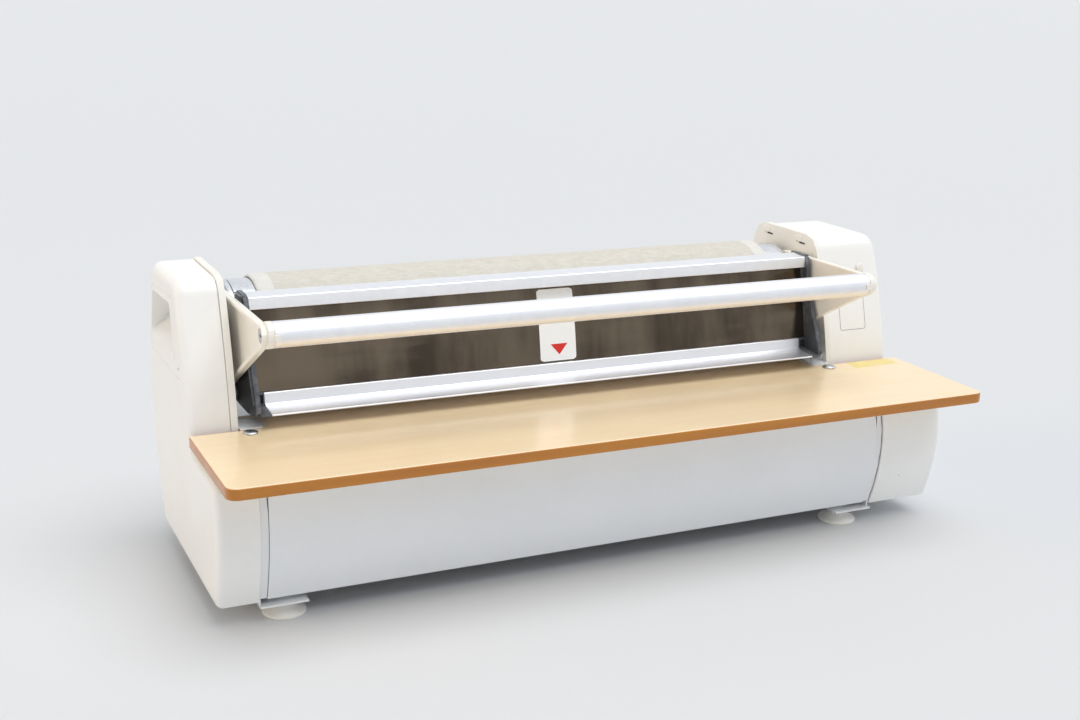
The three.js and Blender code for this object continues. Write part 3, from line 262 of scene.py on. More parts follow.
def makeMarks():
    group, given, out = newGroup("handlingMarks", "Amount", "NodeSocketFloat", 0.5, ["Mask", "Smudge"])
    where = objectPoint(group)
    nicks = ramp(group, cellDistance(group, where, 26.0), 0.045, 0.02)
    kept = ramp(group, mottle(group, where, 5.0, 2.0), 0.58, 0.7)
    sparse = calc(group, "MULTIPLY", nicks, kept)
    smudge = ramp(group, mottle(group, where, 14.0, 6.0, 0.65), 0.45, 0.75)
    return closeGroup(group, out, {"Mask": calc(group, "MULTIPLY", sparse, given["Amount"]), "Smudge": smudge})


def makeWeave():
    group, given, out = newGroup("plainWeave", "Threads", "NodeSocketFloat", 900.0, ["Height", "Shade"])
    flat = put(group, "ShaderNodeUVMap", uv_map="threads").outputs[0]
    counted = [calc(group, "MULTIPLY", split(group, flat)[i], given["Threads"]) for i in (0, 1)]
    turns = [calc(group, "MULTIPLY", count, math.pi) for count in counted]
    warp, weft = (calc(group, "ABSOLUTE", calc(group, "SINE", turn)) for turn in turns)
    across = calc(group, "MULTIPLY", calc(group, "SINE", turns[0]), calc(group, "SINE", turns[1]))
    over = calc(group, "GREATER_THAN", across, 0.0)
    slub = mottle(group, stretched(group, flat, (40, 700, 1)), 1.0, 3.0)
    blotch = mottle(group, stretched(group, flat, (60, 90, 1)), 1.0, 6.0, 0.75)
    uneven = calc(group, "ADD", calc(group, "MULTIPLY", slub, 0.45), calc(group, "MULTIPLY", blotch, 0.55))
    return closeGroup(group, out, {"Height": pick(group, over, warp, weft), "Shade": uneven})


grain, edgeWear, settledDust = makeGrain(), makeEdgeWear(), makeDust()
brushing, handlingMarks, weave = makeBrushing(), makeMarks(), makeWeave()
print("shader groups made")


# materials

def newMaterial(name, sockets):
    material = bpy.data.materials.new(name)
    material.use_nodes = True
    tree = material.node_tree
    tree.nodes.clear()
    shader = put(tree, "ShaderNodeBsdfPrincipled", sockets)
    tree.links.new(shader.outputs[0], put(tree, "ShaderNodeOutputMaterial").inputs[0])
    return material, tree, shader


def bumped(tree, shader, height, distance):
    bump = put(tree, "ShaderNodeBump", {"Height": height, "Distance": distance, "Strength": 1.0})
    tree.links.new(bump.outputs[0], shader.inputs["Normal"])


def painted(tree, shader, base):
    tree.links.new(base, shader.inputs["Base Color"])


def coatedFinish(name, look):
    material, tree, shader = newMaterial(name, {
        "Metallic": look.get("metal", 0.0), "Coat Weight": look.get("coat", 0.0),
        "Coat Roughness": look.get("coatRough", 0.1)})
    texture = useGroup(tree, grain, {"Scale": look.get("grainScale", 1500.0)})
    base = blendTones(tree, texture["Tone"], tone(look["base"]), tone(look["shade"]))
    worn = useGroup(tree, edgeWear)["Mask"]
    base = blendTones(tree, calc(tree, "MULTIPLY", worn, look.get("wear", 0.3)), base, tone(look["worn"]))
    marks = useGroup(tree, handlingMarks, {"Amount": look.get("marks", 0.3)})
    base = blendTones(tree, marks["Mask"], base, tone(look.get("markTone", "6F6A62")))
    dust = useGroup(tree, settledDust, {"Amount": look.get("dust", 0.15)})["Mask"]
    base = blendTones(tree, dust, base, tone("CFCBC2"))
    painted(tree, shader, base)
    rough = ramp(tree, marks["Smudge"], 0.0, 1.0, look["rough"][0], look["rough"][1])
    rough = calc(tree, "ADD", rough, calc(tree, "MULTIPLY", dust, 0.3), True)
    tree.links.new(rough, shader.inputs["Roughness"])
    bumped(tree, shader, texture["Height"], look.get("bump", 0.00004))
    return material


def brushedFinish(name, look):
    material, tree, shader = newMaterial(name, {"Metallic": 1.0})
    streaks = useGroup(tree, brushing, {"Stretch": look.get("stretch", (5, 1100, 1100))})
    base = blendTones(tree, streaks["Cloud"], tone(look["base"]), tone(look["shade"]))
    fine = ramp(tree, streaks["Streaks"], 0.3, 0.7)
    base = blendTones(tree, calc(tree, "MULTIPLY", fine, look.get("lines", 0.25)), base, tone(look["line"]))
    worn = useGroup(tree, edgeWear)["Mask"]
    base = blendTones(tree, calc(tree, "MULTIPLY", worn, 0.4), base, tone("F4F5F7"))
    marks = useGroup(tree, handlingMarks, {"Amount": look.get("marks", 0.3)})
    base = blendTones(tree, marks["Mask"], base, tone("55565A"))
    painted(tree, shader, base)
    mixed = calc(tree, "ADD", calc(tree, "MULTIPLY", fine, 0.5), calc(tree, "MULTIPLY", marks["Smudge"], 0.5))
    tree.links.new(ramp(tree, mixed, 0.0, 1.0, *look["rough"]), shader.inputs["Roughness"])
    bumped(tree, shader, streaks["Streaks"], look.get("bump", 0.00002))
    return material


coatedLooks = {
    "gable_plastic": {"base": "FAFAF8", "shade": "F8F7F4", "worn": "FFFFFF", "rough": (0.32, 0.46),
                      "coat": 0.15, "bump": 0.00003, "marks": 0.35, "dust": 0.1},
    "cream_plastic": {"base": "F8F7F3", "shade": "F5F3EC", "worn": "F8F6F0", "rough": (0.36, 0.5),
                      "bump": 0.00003},
    "arm_paint": {"base": "F9F5EC", "shade": "F6F1E6", "worn": "FDFBF7", "rough": (0.3, 0.42), "coat": 0.3,
                  "bump": 0.00002},
    "base_enamel": {"base": "F3F5F8", "shade": "F0F2F5", "worn": "F8F9FA", "rough": (0.2, 0.25), "coat": 0.5,
                    "coatRough": 0.06, "grainScale": 420.0, "bump": 0.000004, "marks": 0.4, "dust": 0.06},
    "dark_casting": {"base": "55585E", "shade": "46494E", "worn": "8D9096", "rough": (0.42, 0.6), "metal": 0.3,
                     "grainScale": 900.0, "bump": 0.00012, "wear": 0.6, "dust": 0.3},
    "gear_iron": {"base": "6F7276", "shade": "5D6064", "worn": "A6A9AD", "rough": (0.35, 0.6), "metal": 0.8,
                  "grainScale": 700.0, "bump": 0.0001, "wear": 0.7},
    "motor_paint": {"base": "3A3D41", "shade": "32353A", "worn": "6A6D72", "rough": (0.35, 0.5)},
    "black_plastic": {"base": "202124", "shade": "1A1B1D", "worn": "48494C", "rough": (0.42, 0.6), "dust": 0.25,
                      "markTone": "3C3D40"},
}

brushedLooks = {
    "satin_aluminium": {"base": "ECEDF0", "shade": "EAEBEF", "line": "DCDEE3", "rough": (0.42, 0.445),
                        "lines": 0.1, "bump": 0.000006, "marks": 0.15},
    "plate_aluminium": {"base": "D8D9DC", "shade": "CACCCF", "line": "A9ABAF", "rough": (0.18, 0.32)},
    "bright_steel": {"base": "DCDEE2", "shade": "DADCE0", "line": "C4C6CC", "rough": (0.25, 0.28),
                     "lines": 0.12, "bump": 0.000004, "marks": 0.1, "stretch": (1400, 12, 12)},
    "zinc_steel": {"base": "C9CCD0", "shade": "BCC0C5", "line": "A4A7AC", "rough": (0.25, 0.42),
                   "stretch": (500, 500, 500), "lines": 0.4},
    "spring_steel": {"base": "9A9DA2", "shade": "85888D", "line": "6B6E73", "rough": (0.28, 0.45),
                     "stretch": (700, 700, 700)},
}

looks = {name: coatedFinish(name, look) for name, look in coatedLooks.items()}
looks.update({name: brushedFinish(name, look) for name, look in brushedLooks.items()})


def beechFinish():
    material, tree, shader = newMaterial("beech_board", {"Coat Weight": 0.5, "Coat Roughness": 0.15})
    figure = mottle(tree, objectPoint(tree, (3.0, 60, 60)), 1.0, 5.0, 0.6)
    flecks = mottle(tree, objectPoint(tree, (60.0, 1400, 1400)), 1.0, 2.0)
    broad = mottle(tree, objectPoint(tree, (1.2, 7.0, 7.0)), 1.0, 3.0)
    base = blendTones(tree, ramp(tree, figure, 0.3, 0.75), tone("FBE3BC"), tone("F9DEB4"))
    base = blendTones(tree, calc(tree, "MULTIPLY", ramp(tree, broad, 0.4, 0.7), 0.35), base, tone("FCE7C4"))
    base = blendTones(tree, calc(tree, "MULTIPLY", ramp(tree, flecks, 0.56, 0.66), 0.22), base, tone("EBC08A"))
    # the board's side faces, found by their normals, are painted a darker and deeper orange than its top
    side = ramp(tree, calc(tree, "ABSOLUTE", upwardShare(tree)), 0.92, 0.55)
    edgeTone = blendTones(tree, ramp(tree, figure, 0.3, 0.7), tone("C07A0C"), tone("B36C08"))
    base = blendTones(tree, side, base, edgeTone)
    marks = useGroup(tree, handlingMarks, {"Amount": 0.25})
    base = blendTones(tree, marks["Mask"], base, tone("8A6234"))
    painted(tree, shader, base)
    tree.links.new(ramp(tree, marks["Smudge"], 0.0, 1.0, 0.34, 0.48), shader.inputs["Roughness"])
    bumped(tree, shader, flecks, 0.00004)
    return material


def bronzedFinish():
    # painted reflection: the dark brown base colour, its blotches, pale patches and light specks stand in for a dark
    # room mirrored in polished steel, not a bronze tint of the steel
    material, tree, shader = newMaterial("bronzed_steel", {"Metallic": 1.0})
    where = objectPoint(tree)
    blotch = ramp(tree, mottle(tree, objectPoint(tree, (11.0, 2.5, 2.5)), 1.0, 5.0, 0.6), 0.35, 0.68)
    paleReflection = mottle(tree, objectPoint(tree, (3.0, 14.0, 14.0)), 1.0, 6.0, 0.6)
    base = blendTones(tree, blotch, tone("6C6154"), tone("453D34"))
    base = blendTones(tree, calc(tree, "MULTIPLY", ramp(tree, paleReflection, 0.42, 0.66), 0.5), base, tone("7A6D5E"))
    sparse = ramp(tree, mottle(tree, where, 9.0, 2.0), 0.56, 0.66)
    pits = calc(tree, "MULTIPLY", ramp(tree, cellDistance(tree, where, 70.0), 0.07, 0.03), sparse)
    base = blendTones(tree, calc(tree, "MULTIPLY", pits, 0.6), base, tone("A89C8C"))
    painted(tree, shader, base)
    tree.links.new(ramp(tree, blotch, 0.0, 1.0, 0.26, 0.16), shader.inputs["Roughness"])
    dimples = mottle(tree, where, 90.0, 2.0)
    bumped(tree, shader, calc(tree, "ADD", dimples, calc(tree, "MULTIPLY", pits, 0.3)), 0.00003)
    return material


def clothFinish(name, light, dark, threads, contrast):
    material, tree, shader = newMaterial(name, {"Roughness": 0.92, "Sheen Weight": 0.25, "Sheen Roughness": 0.5})
    woven = useGroup(tree, weave, {"Threads": threads})
    share = ramp(tree, woven["Shade"], 0.5 - contrast, 0.5 + contrast)
    base = blendTones(tree, share, tone(light), tone(dark))
    # painted shade: the weave's low points between threads are darkened towards 8E877A
    low = ramp(tree, woven["Height"], 0.0, 0.45, 0.22, 0.0)
    base = blendTones(tree, low, base, tone("8E877A"))
    painted(tree, shader, base)
    bumped(tree, shader, woven["Height"], 0.0002)
    return material


def feltFinish():
    material, tree, shader = newMaterial("felt_padding", {"Roughness": 0.97, "Sheen Weight": 0.4})
    fibres = mottle(tree, objectPoint(tree), 420.0, 6.0, 0.75)
    base = blendTones(tree, ramp(tree, fibres, 0.35, 0.65), tone("DAD4C6"), tone("BEB6A4"))
    painted(tree, shader, base)
    bumped(tree, shader, fibres, 0.0004)
    return material


def lensFinish():
    material, tree, shader = newMaterial("lamp_lens", {
        "Roughness": 0.12, "Subsurface Weight": 0.3, "Subsurface Radius": (0.004, 0.004, 0.003), "Coat Weight": 0.5})
    cloudy = mottle(tree, objectPoint(tree), 300.0, 3.0)
    painted(tree, shader, blendTones(tree, cloudy, tone("F7F5EE"), tone("E9E5DA")))
    return material


looks["beech_board"] = beechFinish()
# this finish's dark colour is a painted reflection of a dark room in polished steel
looks["bronzed_steel"] = bronzedFinish()
looks["iron_cloth"] = clothFinish("iron_cloth", "EEEBE2", "DAD5C9", 900.0, 0.17)
looks["edging_tape"] = clothFinish("edging_tape", "FDFCF8", "F4F1E9", 1300.0, 0.2)
looks["felt_padding"] = feltFinish()
for ink, base, shaded in (("label_white", "FDFEFE", "FBFCFC"), ("label_red", "DE2A1E", "D6261B"),
                          ("label_yellow", "EFDB8E", "E9D382"), ("label_grey", "A9ADB2", "9DA1A6")):
    looks[ink] = coatedFinish(ink, {"base": base, "shade": shaded, "worn": base, "rough": (0.36, 0.46),
                                    "marks": 0.1, "dust": 0.04, "bump": 0.00001})
looks["lamp_lens"] = lensFinish()
print("materials made:", len(looks))

slotOf = {row["node"]: row["material_slot"] for row in frame["record"]["subparts"]}


def dress(piece, slotName):
    piece.data.materials.clear()
    piece.data.materials.append(looks[slotName])


for nodeName, part in nodes.items():
    dress(part, slotOf[nodeName])


# piece forms. Outlines are lists of pairs: (y, z) for what is pushed along x, (x, y) for what is pushed up.

def bezier(points, count):
    made = []
    for step in range(1, count + 1):
        layer = [Vector(p) for p in points]
        while len(layer) > 1:
            layer = [a.lerp(b, step / count) for a, b in zip(layer, layer[1:])]
        made.append(tuple(layer[0]))
    return made


def softened(corners, cuts, count=5):
    made = []
    for i, corner in enumerate(corners):
        here, before, after = Vector(corner), Vector(corners[i - 1]), Vector(corners[(i + 1) % len(corners)])
        cut = cuts[i] if isinstance(cuts, (list, tuple)) else cuts
        start = here + (before - here).normalized() * min(cut, (before - here).length * 0.49)
        end = here + (after - here).normalized() * min(cut, (after - here).length * 0.49)
        made.append(tuple(start))
        made += bezier([start, here, end], count)
    return made


def inset(outline, distance):
    turning = sum(a[0] * b[1] - b[0] * a[1] for a, b in zip(outline, outline[1:] + outline[:1]))
    side = 1 if turning > 0 else -1
    made = []
    for i, point in enumerate(outline):
        here = Vector(point)
        u = (here - Vector(outline[i - 1])).normalized()
        v = (Vector(outline[(i + 1) % len(outline)]) - here).normalized()
        inward = Vector((-u.y - v.y, u.x + v.x)).normalized() * side
        spread = max(0.5, inward.dot(Vector((-u.y, u.x)) * side))
        far = distance[i] if isinstance(distance, list) else distance
        made.append(tuple(here + inward * far / spread))
    return made


class Form:
    def __init__(self):
        self.points, self.faces = [], []

    def ring(self, loop):
        first = len(self.points)
        self.points += [spot(*p) for p in loop]
        return list(range(first, len(self.points)))

    def skin(self, *rings):
        for near, far in zip(rings, rings[1:]):
            for i in range(len(near)):
                j = (i + 1) % len(near)
                self.faces.append((near[i], near[j], far[j], far[i]))

    def fill(self, outer, *holes):
        loops = [[self.points[i] for i in loop] for loop in (outer, *holes)]
        order = [i for loop in (outer, *holes) for i in loop]
        self.faces += [tuple(order[k] for k in face) for face in tessellate_polygon(loops)]

    def push(self, outline, near, far, nearRound=0.0, farRound=0.0, steps=4, upright=False):
        way = 1 if far > near else -1
        stations = []
        for k in range(steps + 1 if nearRound else 1):
            a = math.pi / 2 * (1 - k / steps) if nearRound else 0
            stations.append((near + way * nearRound * (1 - math.sin(a)), nearRound * (1 - math.cos(a))))
        for k in range(steps + 1 if farRound else 1):
            a = math.pi / 2 * k / steps if farRound else 0
            stations.append((far - way * farRound * (1 - math.sin(a)), farRound * (1 - math.cos(a))))
        rings = []
        for at, drawn in stations:
            loop = inset(outline, drawn) if drawn else outline
            rings.append(self.ring([(p[0], p[1], at) if upright else (at, p[0], p[1]) for p in loop]))
        self.skin(*rings)
        self.fill(rings[0])
        self.fill(rings[-1])

    def turn(self, profile, base, axis, count, hollow):
        # profile is pairs of radius and distance along the axis from the base
        ahead = Vector({"x": (1, 0, 0), "z": (0, 0, 1)}.get(axis, axis)).normalized()
        side = ahead.orthogonal().normalized()
        other = ahead.cross(side)
        rings = []
        for radius, along in profile:
            middle = Vector(base) + ahead * along
            if radius < 1e-6:
                rings.append(self.ring([middle]))
                continue
            rings.append(self.ring([middle + (side * math.cos(a) + other * math.sin(a)) * radius
                                    for a in (math.tau * i / count for i in range(count))]))
        if hollow:
            rings.append(rings[0])
        for near, far in zip(rings, rings[1:]):
            if len(near) > 1 and len(far) > 1:
                self.skin(near, far)
            elif len(near) > 1 or len(far) > 1:
                tip, loop = (near[0], far) if len(near) == 1 else (far[0], near)
                self.faces += [(tip, loop[i], loop[(i + 1) % len(loop)]) for i in range(len(loop))]


def place(name, mesh):
    piece = bpy.data.objects.new(name, mesh)
    scene.collection.objects.link(piece)
    return piece


def mend(mesh, flatten=0.0):
    work = bmesh.new()
    work.from_mesh(mesh)
    bmesh.ops.remove_doubles(work, verts=work.verts, dist=4e-6)
    bmesh.ops.dissolve_degenerate(work, edges=work.edges, dist=2e-6)
    if flatten:
        bmesh.ops.dissolve_limit(work, angle_limit=math.radians(flatten), verts=work.verts, edges=work.edges)
    bmesh.ops.recalc_face_normals(work, faces=work.faces)
    work.to_mesh(mesh)
    work.free()


def bake(piece):
    bpy.context.view_layer.update()
    settled = bpy.data.meshes.new_from_object(piece.evaluated_get(bpy.context.evaluated_depsgraph_get()))
    settled.name = piece.name
    piece.modifiers.clear()
    piece.data = settled


def shade(piece, sharp=32):
    piece.data.shade_smooth()
    piece.data.set_sharp_from_angle(angle=math.radians(sharp))
    even = piece.modifiers.new("evenNormals", "WEIGHTED_NORMAL")
    even.keep_sharp = True
    bake(piece)


def seat(piece, body, slotName, stands):
    dress(piece, slotName)
    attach(piece, body)
    if stands:
        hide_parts(*stands)
    return piece


def settle(name, form, body, slotName, *stands, sharp=32):
    mesh = bpy.data.meshes.new(name)
    mesh.from_pydata(form.points, [], form.faces)
    mend(mesh)
    piece = place(name, mesh)
    shade(piece, sharp)
    return seat(piece, body, slotName, stands)


def lathe(name, profile, base, body, slotName, *stands, axis="x", count=64, hollow=False):
    form = Form()
    form.turn(profile, base, axis, count, hollow)
    return settle(name, form, body, slotName, *stands)


def bothEnds(end):
    # a profile of one end, drawn from the bore outwards, mirrored to the other
    return [(r, -along) for r, along in end] + [(r, along) for r, along in reversed(end)]


bodyOf = {name: body for body, names in frame["record"]["behaviour"]["bodies"].items() for name in names}


def refine(nodeName, width, segments):
    words = nodeName.split("_")
    piece = place(words[0] + "".join(w.capitalize() for w in words[1:]), nodes[nodeName].data.copy())
    mend(piece.data, 0.4)
    edge = piece.modifiers.new("softEdges", "BEVEL")
    edge.width = width * mm
    edge.segments = segments
    edge.limit_method = "ANGLE"
    edge.angle_limit = math.radians(28)
    edge.use_clamp_overlap = True
    bake(piece)
    shade(piece, 34)
    return seat(piece, bodyOf[nodeName], slotOf[nodeName], (nodeName,))


# moulded gable covers

gable = {
    "rim": 497.8, "wall": 3.0, "leftFace": 556.0, "rightFace": 613.0,
    "topRound": 16.0, "sideRound": 11.0, "roundFrom": 380, "roundRun": 40, "roundSteps": 8, "chamfer": 0.5,
    "depth": 30.0, "ramp": 24.0, "pocketWall": 2.5,
    "opening": [(92, 391.7), (212.5, 386.5), (233, 321), (76, 321)],
    "openingCuts": [9, 10, 8, 8],
    "frame": [(67, 404.7), (219, 397.5), (244, 293.5), (36, 293.5)],
    "frameCuts": [14, 16, 9, 22],
    # each pair is a rise over the outer face and a distance drawn in
    "groove": [(0, 0), (-1.1, 0.5), (-1.1, 1.7), (-0.5, 2.2)],
    "bead": [(-0.5, -5.8), (0.6, -5.2), (1, -4.4), (1, -1.6), (0.65, -0.6), (-0.4, 0)],
    # each pair is a share of the pocket's depth and a distance drawn in
    "pocket": [(0.15, 0.12), (0.4, 0.32), (0.7, 0.56), (0.9, 0.72), (0.98, 2.2), (1, 5)],
    "screwAt": (0, 52, 310), "screw": [(0, 554.8), (2.3, 554.8), (2.3, 556.0), (1.6, 556.4), (0, 556.5)],
}

gableOutline = ([(-128, 32)] + bezier([(-128, 32), (-150, 90), (-154, 150), (-141, 186)], 12)
                + bezier([(-141, 186), (-140, 206), (-121, 206)], 5) + [(-2, 206)]
                + bezier([(-2, 206), (18, 317.5), (54, 409)], 14)
                + bezier([(54, 409), (61, 429), (84, 429)], 7) + [(200, 429)]
                + bezier([(200, 429), (222, 429), (229, 406)], 7)
                + bezier([(229, 406), (250, 334), (264, 260), (264, 205)], 12)
                + bezier([(264, 205), (264, 165), (235, 110), (209, 51)], 10)
                + bezier([(209, 51), (202, 32), (181, 32)], 5))


def gableCover(name, way, face, *stands):
    form = Form()
    radii = [gable["sideRound"] + (gable["topRound"] - gable["sideRound"])
             * min(1, max(0, (z - gable["roundFrom"]) / gable["roundRun"])) for y, z in gableOutline]
    wallGap, chamfer, depth, shell = (gable[key] for key in ("wall", "chamfer", "depth", "pocketWall"))

    def station(shift, drawn):
        loop = inset(gableOutline, drawn)
        return form.ring([(way * (face - r + s), y, z) for (y, z), r, s in zip(loop, radii, shift)])

    def flat(at, loop):
        return form.ring([(way * at, y, z) for y, z in loop])

    skinRings = [flat(gable["rim"], inset(gableOutline, chamfer)), flat(gable["rim"] + chamfer, gableOutline)]
    linerRings = [flat(gable["rim"], inset(gableOutline, wallGap))]
    for k in range(gable["roundSteps"] + 1):
        a = math.pi / 2 * k / gable["roundSteps"]
        skinRings.append(station([r * math.sin(a) for r in radii], [r * (1 - math.cos(a)) for r in radii]))
        linerRings.append(station([(r - wallGap) * math.sin(a) for r in radii],
                                  [r - (r - wallGap) * math.cos(a) for r in radii]))
    form.skin(skinRings[0], linerRings[0])
    form.skin(*skinRings)
    form.skin(*linerRings)
    border = softened(gable["frame"], gable["frameCuts"], 8)
    mouth = softened(gable["opening"], gable["openingCuts"], 8)
    groove = [flat(face + rise, inset(border, drawn)) for rise, drawn in gable["groove"]]
    form.fill(skinRings[-1], groove[0])
    form.skin(*groove)

    # the pocket's floor is a ramp that rises inwards
    low = min(z for y, z in mouth)
    high = max(z for y, z in mouth)

    def deep(share, drawn):
        lift = gable["ramp"] * share
        return [(y, z + lift * (high - z) / (high - low)) for y, z in inset(mouth, drawn)]

    bead = [flat(face + rise, inset(mouth, drawn)) for rise, drawn in gable["bead"]]
    form.fill(groove[-1], bead[0])
    pocket = [flat(face - depth * share, deep(share, drawn)) for share, drawn in gable["pocket"]]
    form.skin(*bead, *pocket)
    form.fill(pocket[-1])
    back = [flat(face - wallGap, inset(mouth, -shell))]
    back += [flat(face - depth * share, deep(share, -shell)) for share in (0.5, 1.0)]
    back.append(flat(face - depth - shell, deep(1, 1 - shell)))
    form.fill(linerRings[-1], back[0])
    form.skin(*back)
    form.fill(back[-1])
    return settle(name, form, "machine", "gable_plastic", *stands, sharp=38)


gableCover("leftGableCover", -1, gable["leftFace"], "left_gable_cover")
gableCover("rightGableCover", 1, gable["rightFace"], "right_gable_cover")
lathe("leftFrameScrew", gable["screw"], gable["screwAt"], "machine", "zinc_steel", axis=(-1, 0, 0), count=32)
print("gable covers made")


# feeding table: a beech board with rounded front corners and a tongue between the gables

board = {
    "plan": [(-557, -225), (623, -225), (623, -6.5), (486.5, -6.5), (486.5, 58), (-486.5, 58), (-486.5, -6.5),
             (-557, -6.5)],
    "cuts": [18, 18, 3, 1.5, 4, 4, 1.5, 3],
    "under": 216, "top": 232, "underRound": 1.5, "topRound": 2.6,
}
form = Form()
form.push(softened(board["plan"], board["cuts"], 8), board["under"], board["top"], board["underRound"],
          board["topRound"], 4, upright=True)
settle("feedingTable", form, "machine", "beech_board", "feeding_table")


# roller: tube, end discs, shaft, padding

roller = {
    "axis": (0, rollerY, rollerZ), "radius": 78.2, "half": 462.0, "wall": 2.5,
    "disc": [(12.3, 462.6), (70, 462.6), (77.4, 462.6), (78.2, 463.4), (78.2, 468.2), (77.2, 469.8),
             (75.4, 470.3), (64, 470.3), (61.5, 469.4), (60, 467.2), (24, 467.2), (21.5, 468.2), (20, 470.3),
             (12.3, 470.3)],
    "shaft": [(0, -505.5), (11, -505.5), (12, -504.5), (12, 526.5), (11, 527.5), (0, 527.5)],
    "padding": [(78.5, 425), (79, 426), (81.5, 426), (82.5, 424.5)],
}
axis, outer, half = roller["axis"], roller["radius"], roller["half"]
bore = outer - roller["wall"]
tube = bothEnds([(bore, half), (bore + 0.8, half), (outer - 0.5, half), (outer, half - 0.6)])
lathe("rollerDrum", tube, axis, "roller", "bright_steel", "roller_drum", count=160, hollow=True)
for side, way in sides:
    disc = [(r, way * x) for r, x in roller["disc"]]
    lathe(side + "DrumDisc", disc, axis, "roller", "bright_steel", side + "_drum_disc", count=128, hollow=True)
lathe("rollerShaft", roller["shaft"], axis, "roller", "spring_steel", "roller_shaft")
padding = lathe("rollerPadding", bothEnds(roller["padding"]), axis, "roller", "felt_padding", "roller_padding",
                count=128, hollow=True)
print("roller made")


# cloth wrapped round the roller, its section swept once round by rule

def newRule(name, sockets):
    rule = bpy.data.node_groups.new(name, "GeometryNodeTree")
    rule.is_modifier = True
    for label, kind, value in sockets:
        item = rule.interface.new_socket(name=label, in_out="INPUT", socket_type="NodeSocket" + kind)
        if value is not None:
            item.default_value = value
    rule.interface.new_socket(name="Geometry", in_out="OUTPUT", socket_type="NodeSocketGeometry")
    return rule, rule.nodes.new("NodeGroupInput").outputs, rule.nodes.new("NodeGroupOutput").inputs


def finishRule(rule, geometry, finish, out):
    real = put(rule, "GeometryNodeRealizeInstances", {"Geometry": geometry}).outputs[0]
    dressed = put(rule, "GeometryNodeSetMaterial", {"Geometry": real, "Material": finish}).outputs[0]
    rule.links.new(dressed, out["Geometry"])


def wrappingRule():
    rule, given, out = newRule("wrappedCloth", (
        ("Start", "Float", -0.4), ("End", "Float", 0.4), ("Radius", "Float", 0.084), ("Thickness", "Float", 0.0012),
        ("Wrinkle", "Float", 0.0003), ("Around", "Int", 240), ("Along", "Int", 90), ("Cloth", "Material", None)))
    # the section's loop has one row of points out along the face and one back along the inside
    rowCount = calc(rule, "ADD", calc(rule, "MULTIPLY", given["Along"], 2.0), 3.0)
    size = {"Size X": 1.0, "Size Y": 1.0, "Vertices X": given["Around"], "Vertices Y": rowCount}
    grid = put(rule, "GeometryNodeMeshGrid", size).outputs["Mesh"]
    at = split(rule, put(rule, "GeometryNodeInputPosition").outputs[0])
    row = calc(rule, "MULTIPLY", calc(rule, "ADD", at[1], 0.5), calc(rule, "SUBTRACT", rowCount, 1.0))
    step = calc(rule, "ROUND", row)
    closing = calc(rule, "GREATER_THAN", step, calc(rule, "SUBTRACT", rowCount, 1.5))
    past = calc(rule, "GREATER_THAN", step, calc(rule, "ADD", given["Along"], 0.5))
    inside = calc(rule, "SUBTRACT", past, closing)
    forth = calc(rule, "DIVIDE", step, given["Along"])
    returned = calc(rule, "SUBTRACT", calc(rule, "SUBTRACT", step, given["Along"]), 1.0)
    back = calc(rule, "SUBTRACT", 1.0, calc(rule, "DIVIDE", returned, given["Along"]))
    run = pick(rule, calc(rule, "ADD", inside, closing, True), forth, back)
    run = calc(rule, "MULTIPLY", run, calc(rule, "SUBTRACT", 1.0, closing))
    span = {"Value": run, "To Min": given["Start"], "To Max": given["End"]}
    along = put(rule, "ShaderNodeMapRange", span).outputs[0]
    angle = calc(rule, "MULTIPLY", calc(rule, "ADD", at[0], 0.5), math.tau)
    turned = [calc(rule, "COSINE", angle), calc(rule, "SINE", angle)]
    where = combine(rule, calc(rule, "MULTIPLY", along, 7.0), *turned)
    waves = put(rule, "ShaderNodeTexNoise", {"Vector": where, "Scale": 2.2, "Detail": 3.0}).outputs[0]
    sunk = calc(rule, "SUBTRACT", given["Radius"], calc(rule, "MULTIPLY", waves, given["Wrinkle"]))
    radius = calc(rule, "SUBTRACT", sunk, calc(rule, "MULTIPLY", inside, given["Thickness"]))
    spread = combine(rule, along, *(calc(rule, "MULTIPLY", share, radius) for share in turned))
    threads = combine(rule, along, calc(rule, "MULTIPLY", angle, given["Radius"]))
    marked = put(rule, "GeometryNodeStoreNamedAttribute", {"Geometry": grid, "Name": "threads", "Value": threads},
                 data_type="FLOAT2", domain="CORNER").outputs[0]
    wrapped = put(rule, "GeometryNodeSetPosition", {"Geometry": marked, "Position": spread}).outputs[0]
    joined = put(rule, "GeometryNodeMergeByDistance", {"Geometry": wrapped, "Distance": 0.00002}).outputs[0]
    smooth = put(rule, "GeometryNodeSetShadeSmooth", {"Geometry": joined}).outputs[0]
    finishRule(rule, smooth, given["Cloth"], out)
    return rule


def socketOf(group, label):
    return next(item.identifier for item in group.interface.items_tree
                if item.item_type == "SOCKET" and item.in_out == "INPUT" and item.name == label)


def ruled(name, rule, values):
    piece = place(name, bpy.data.meshes.new(name))
    made = piece.modifiers.new("rule", "NODES")
    made.node_group = rule
    for label, value in values.items():
        made[socketOf(rule, label)] = value
    bake(piece)
    return piece


wrapped = wrappingRule()

# the tapes run along the cloth's ends and are drawn in over the padding's
cover = {"radius": 84, "thickness": 1.2, "clothHalf": 404, "tapeFrom": 404.3, "tapeTo": 430, "tuckFrom": 425.5,
         "tuckDrop": 3.4}


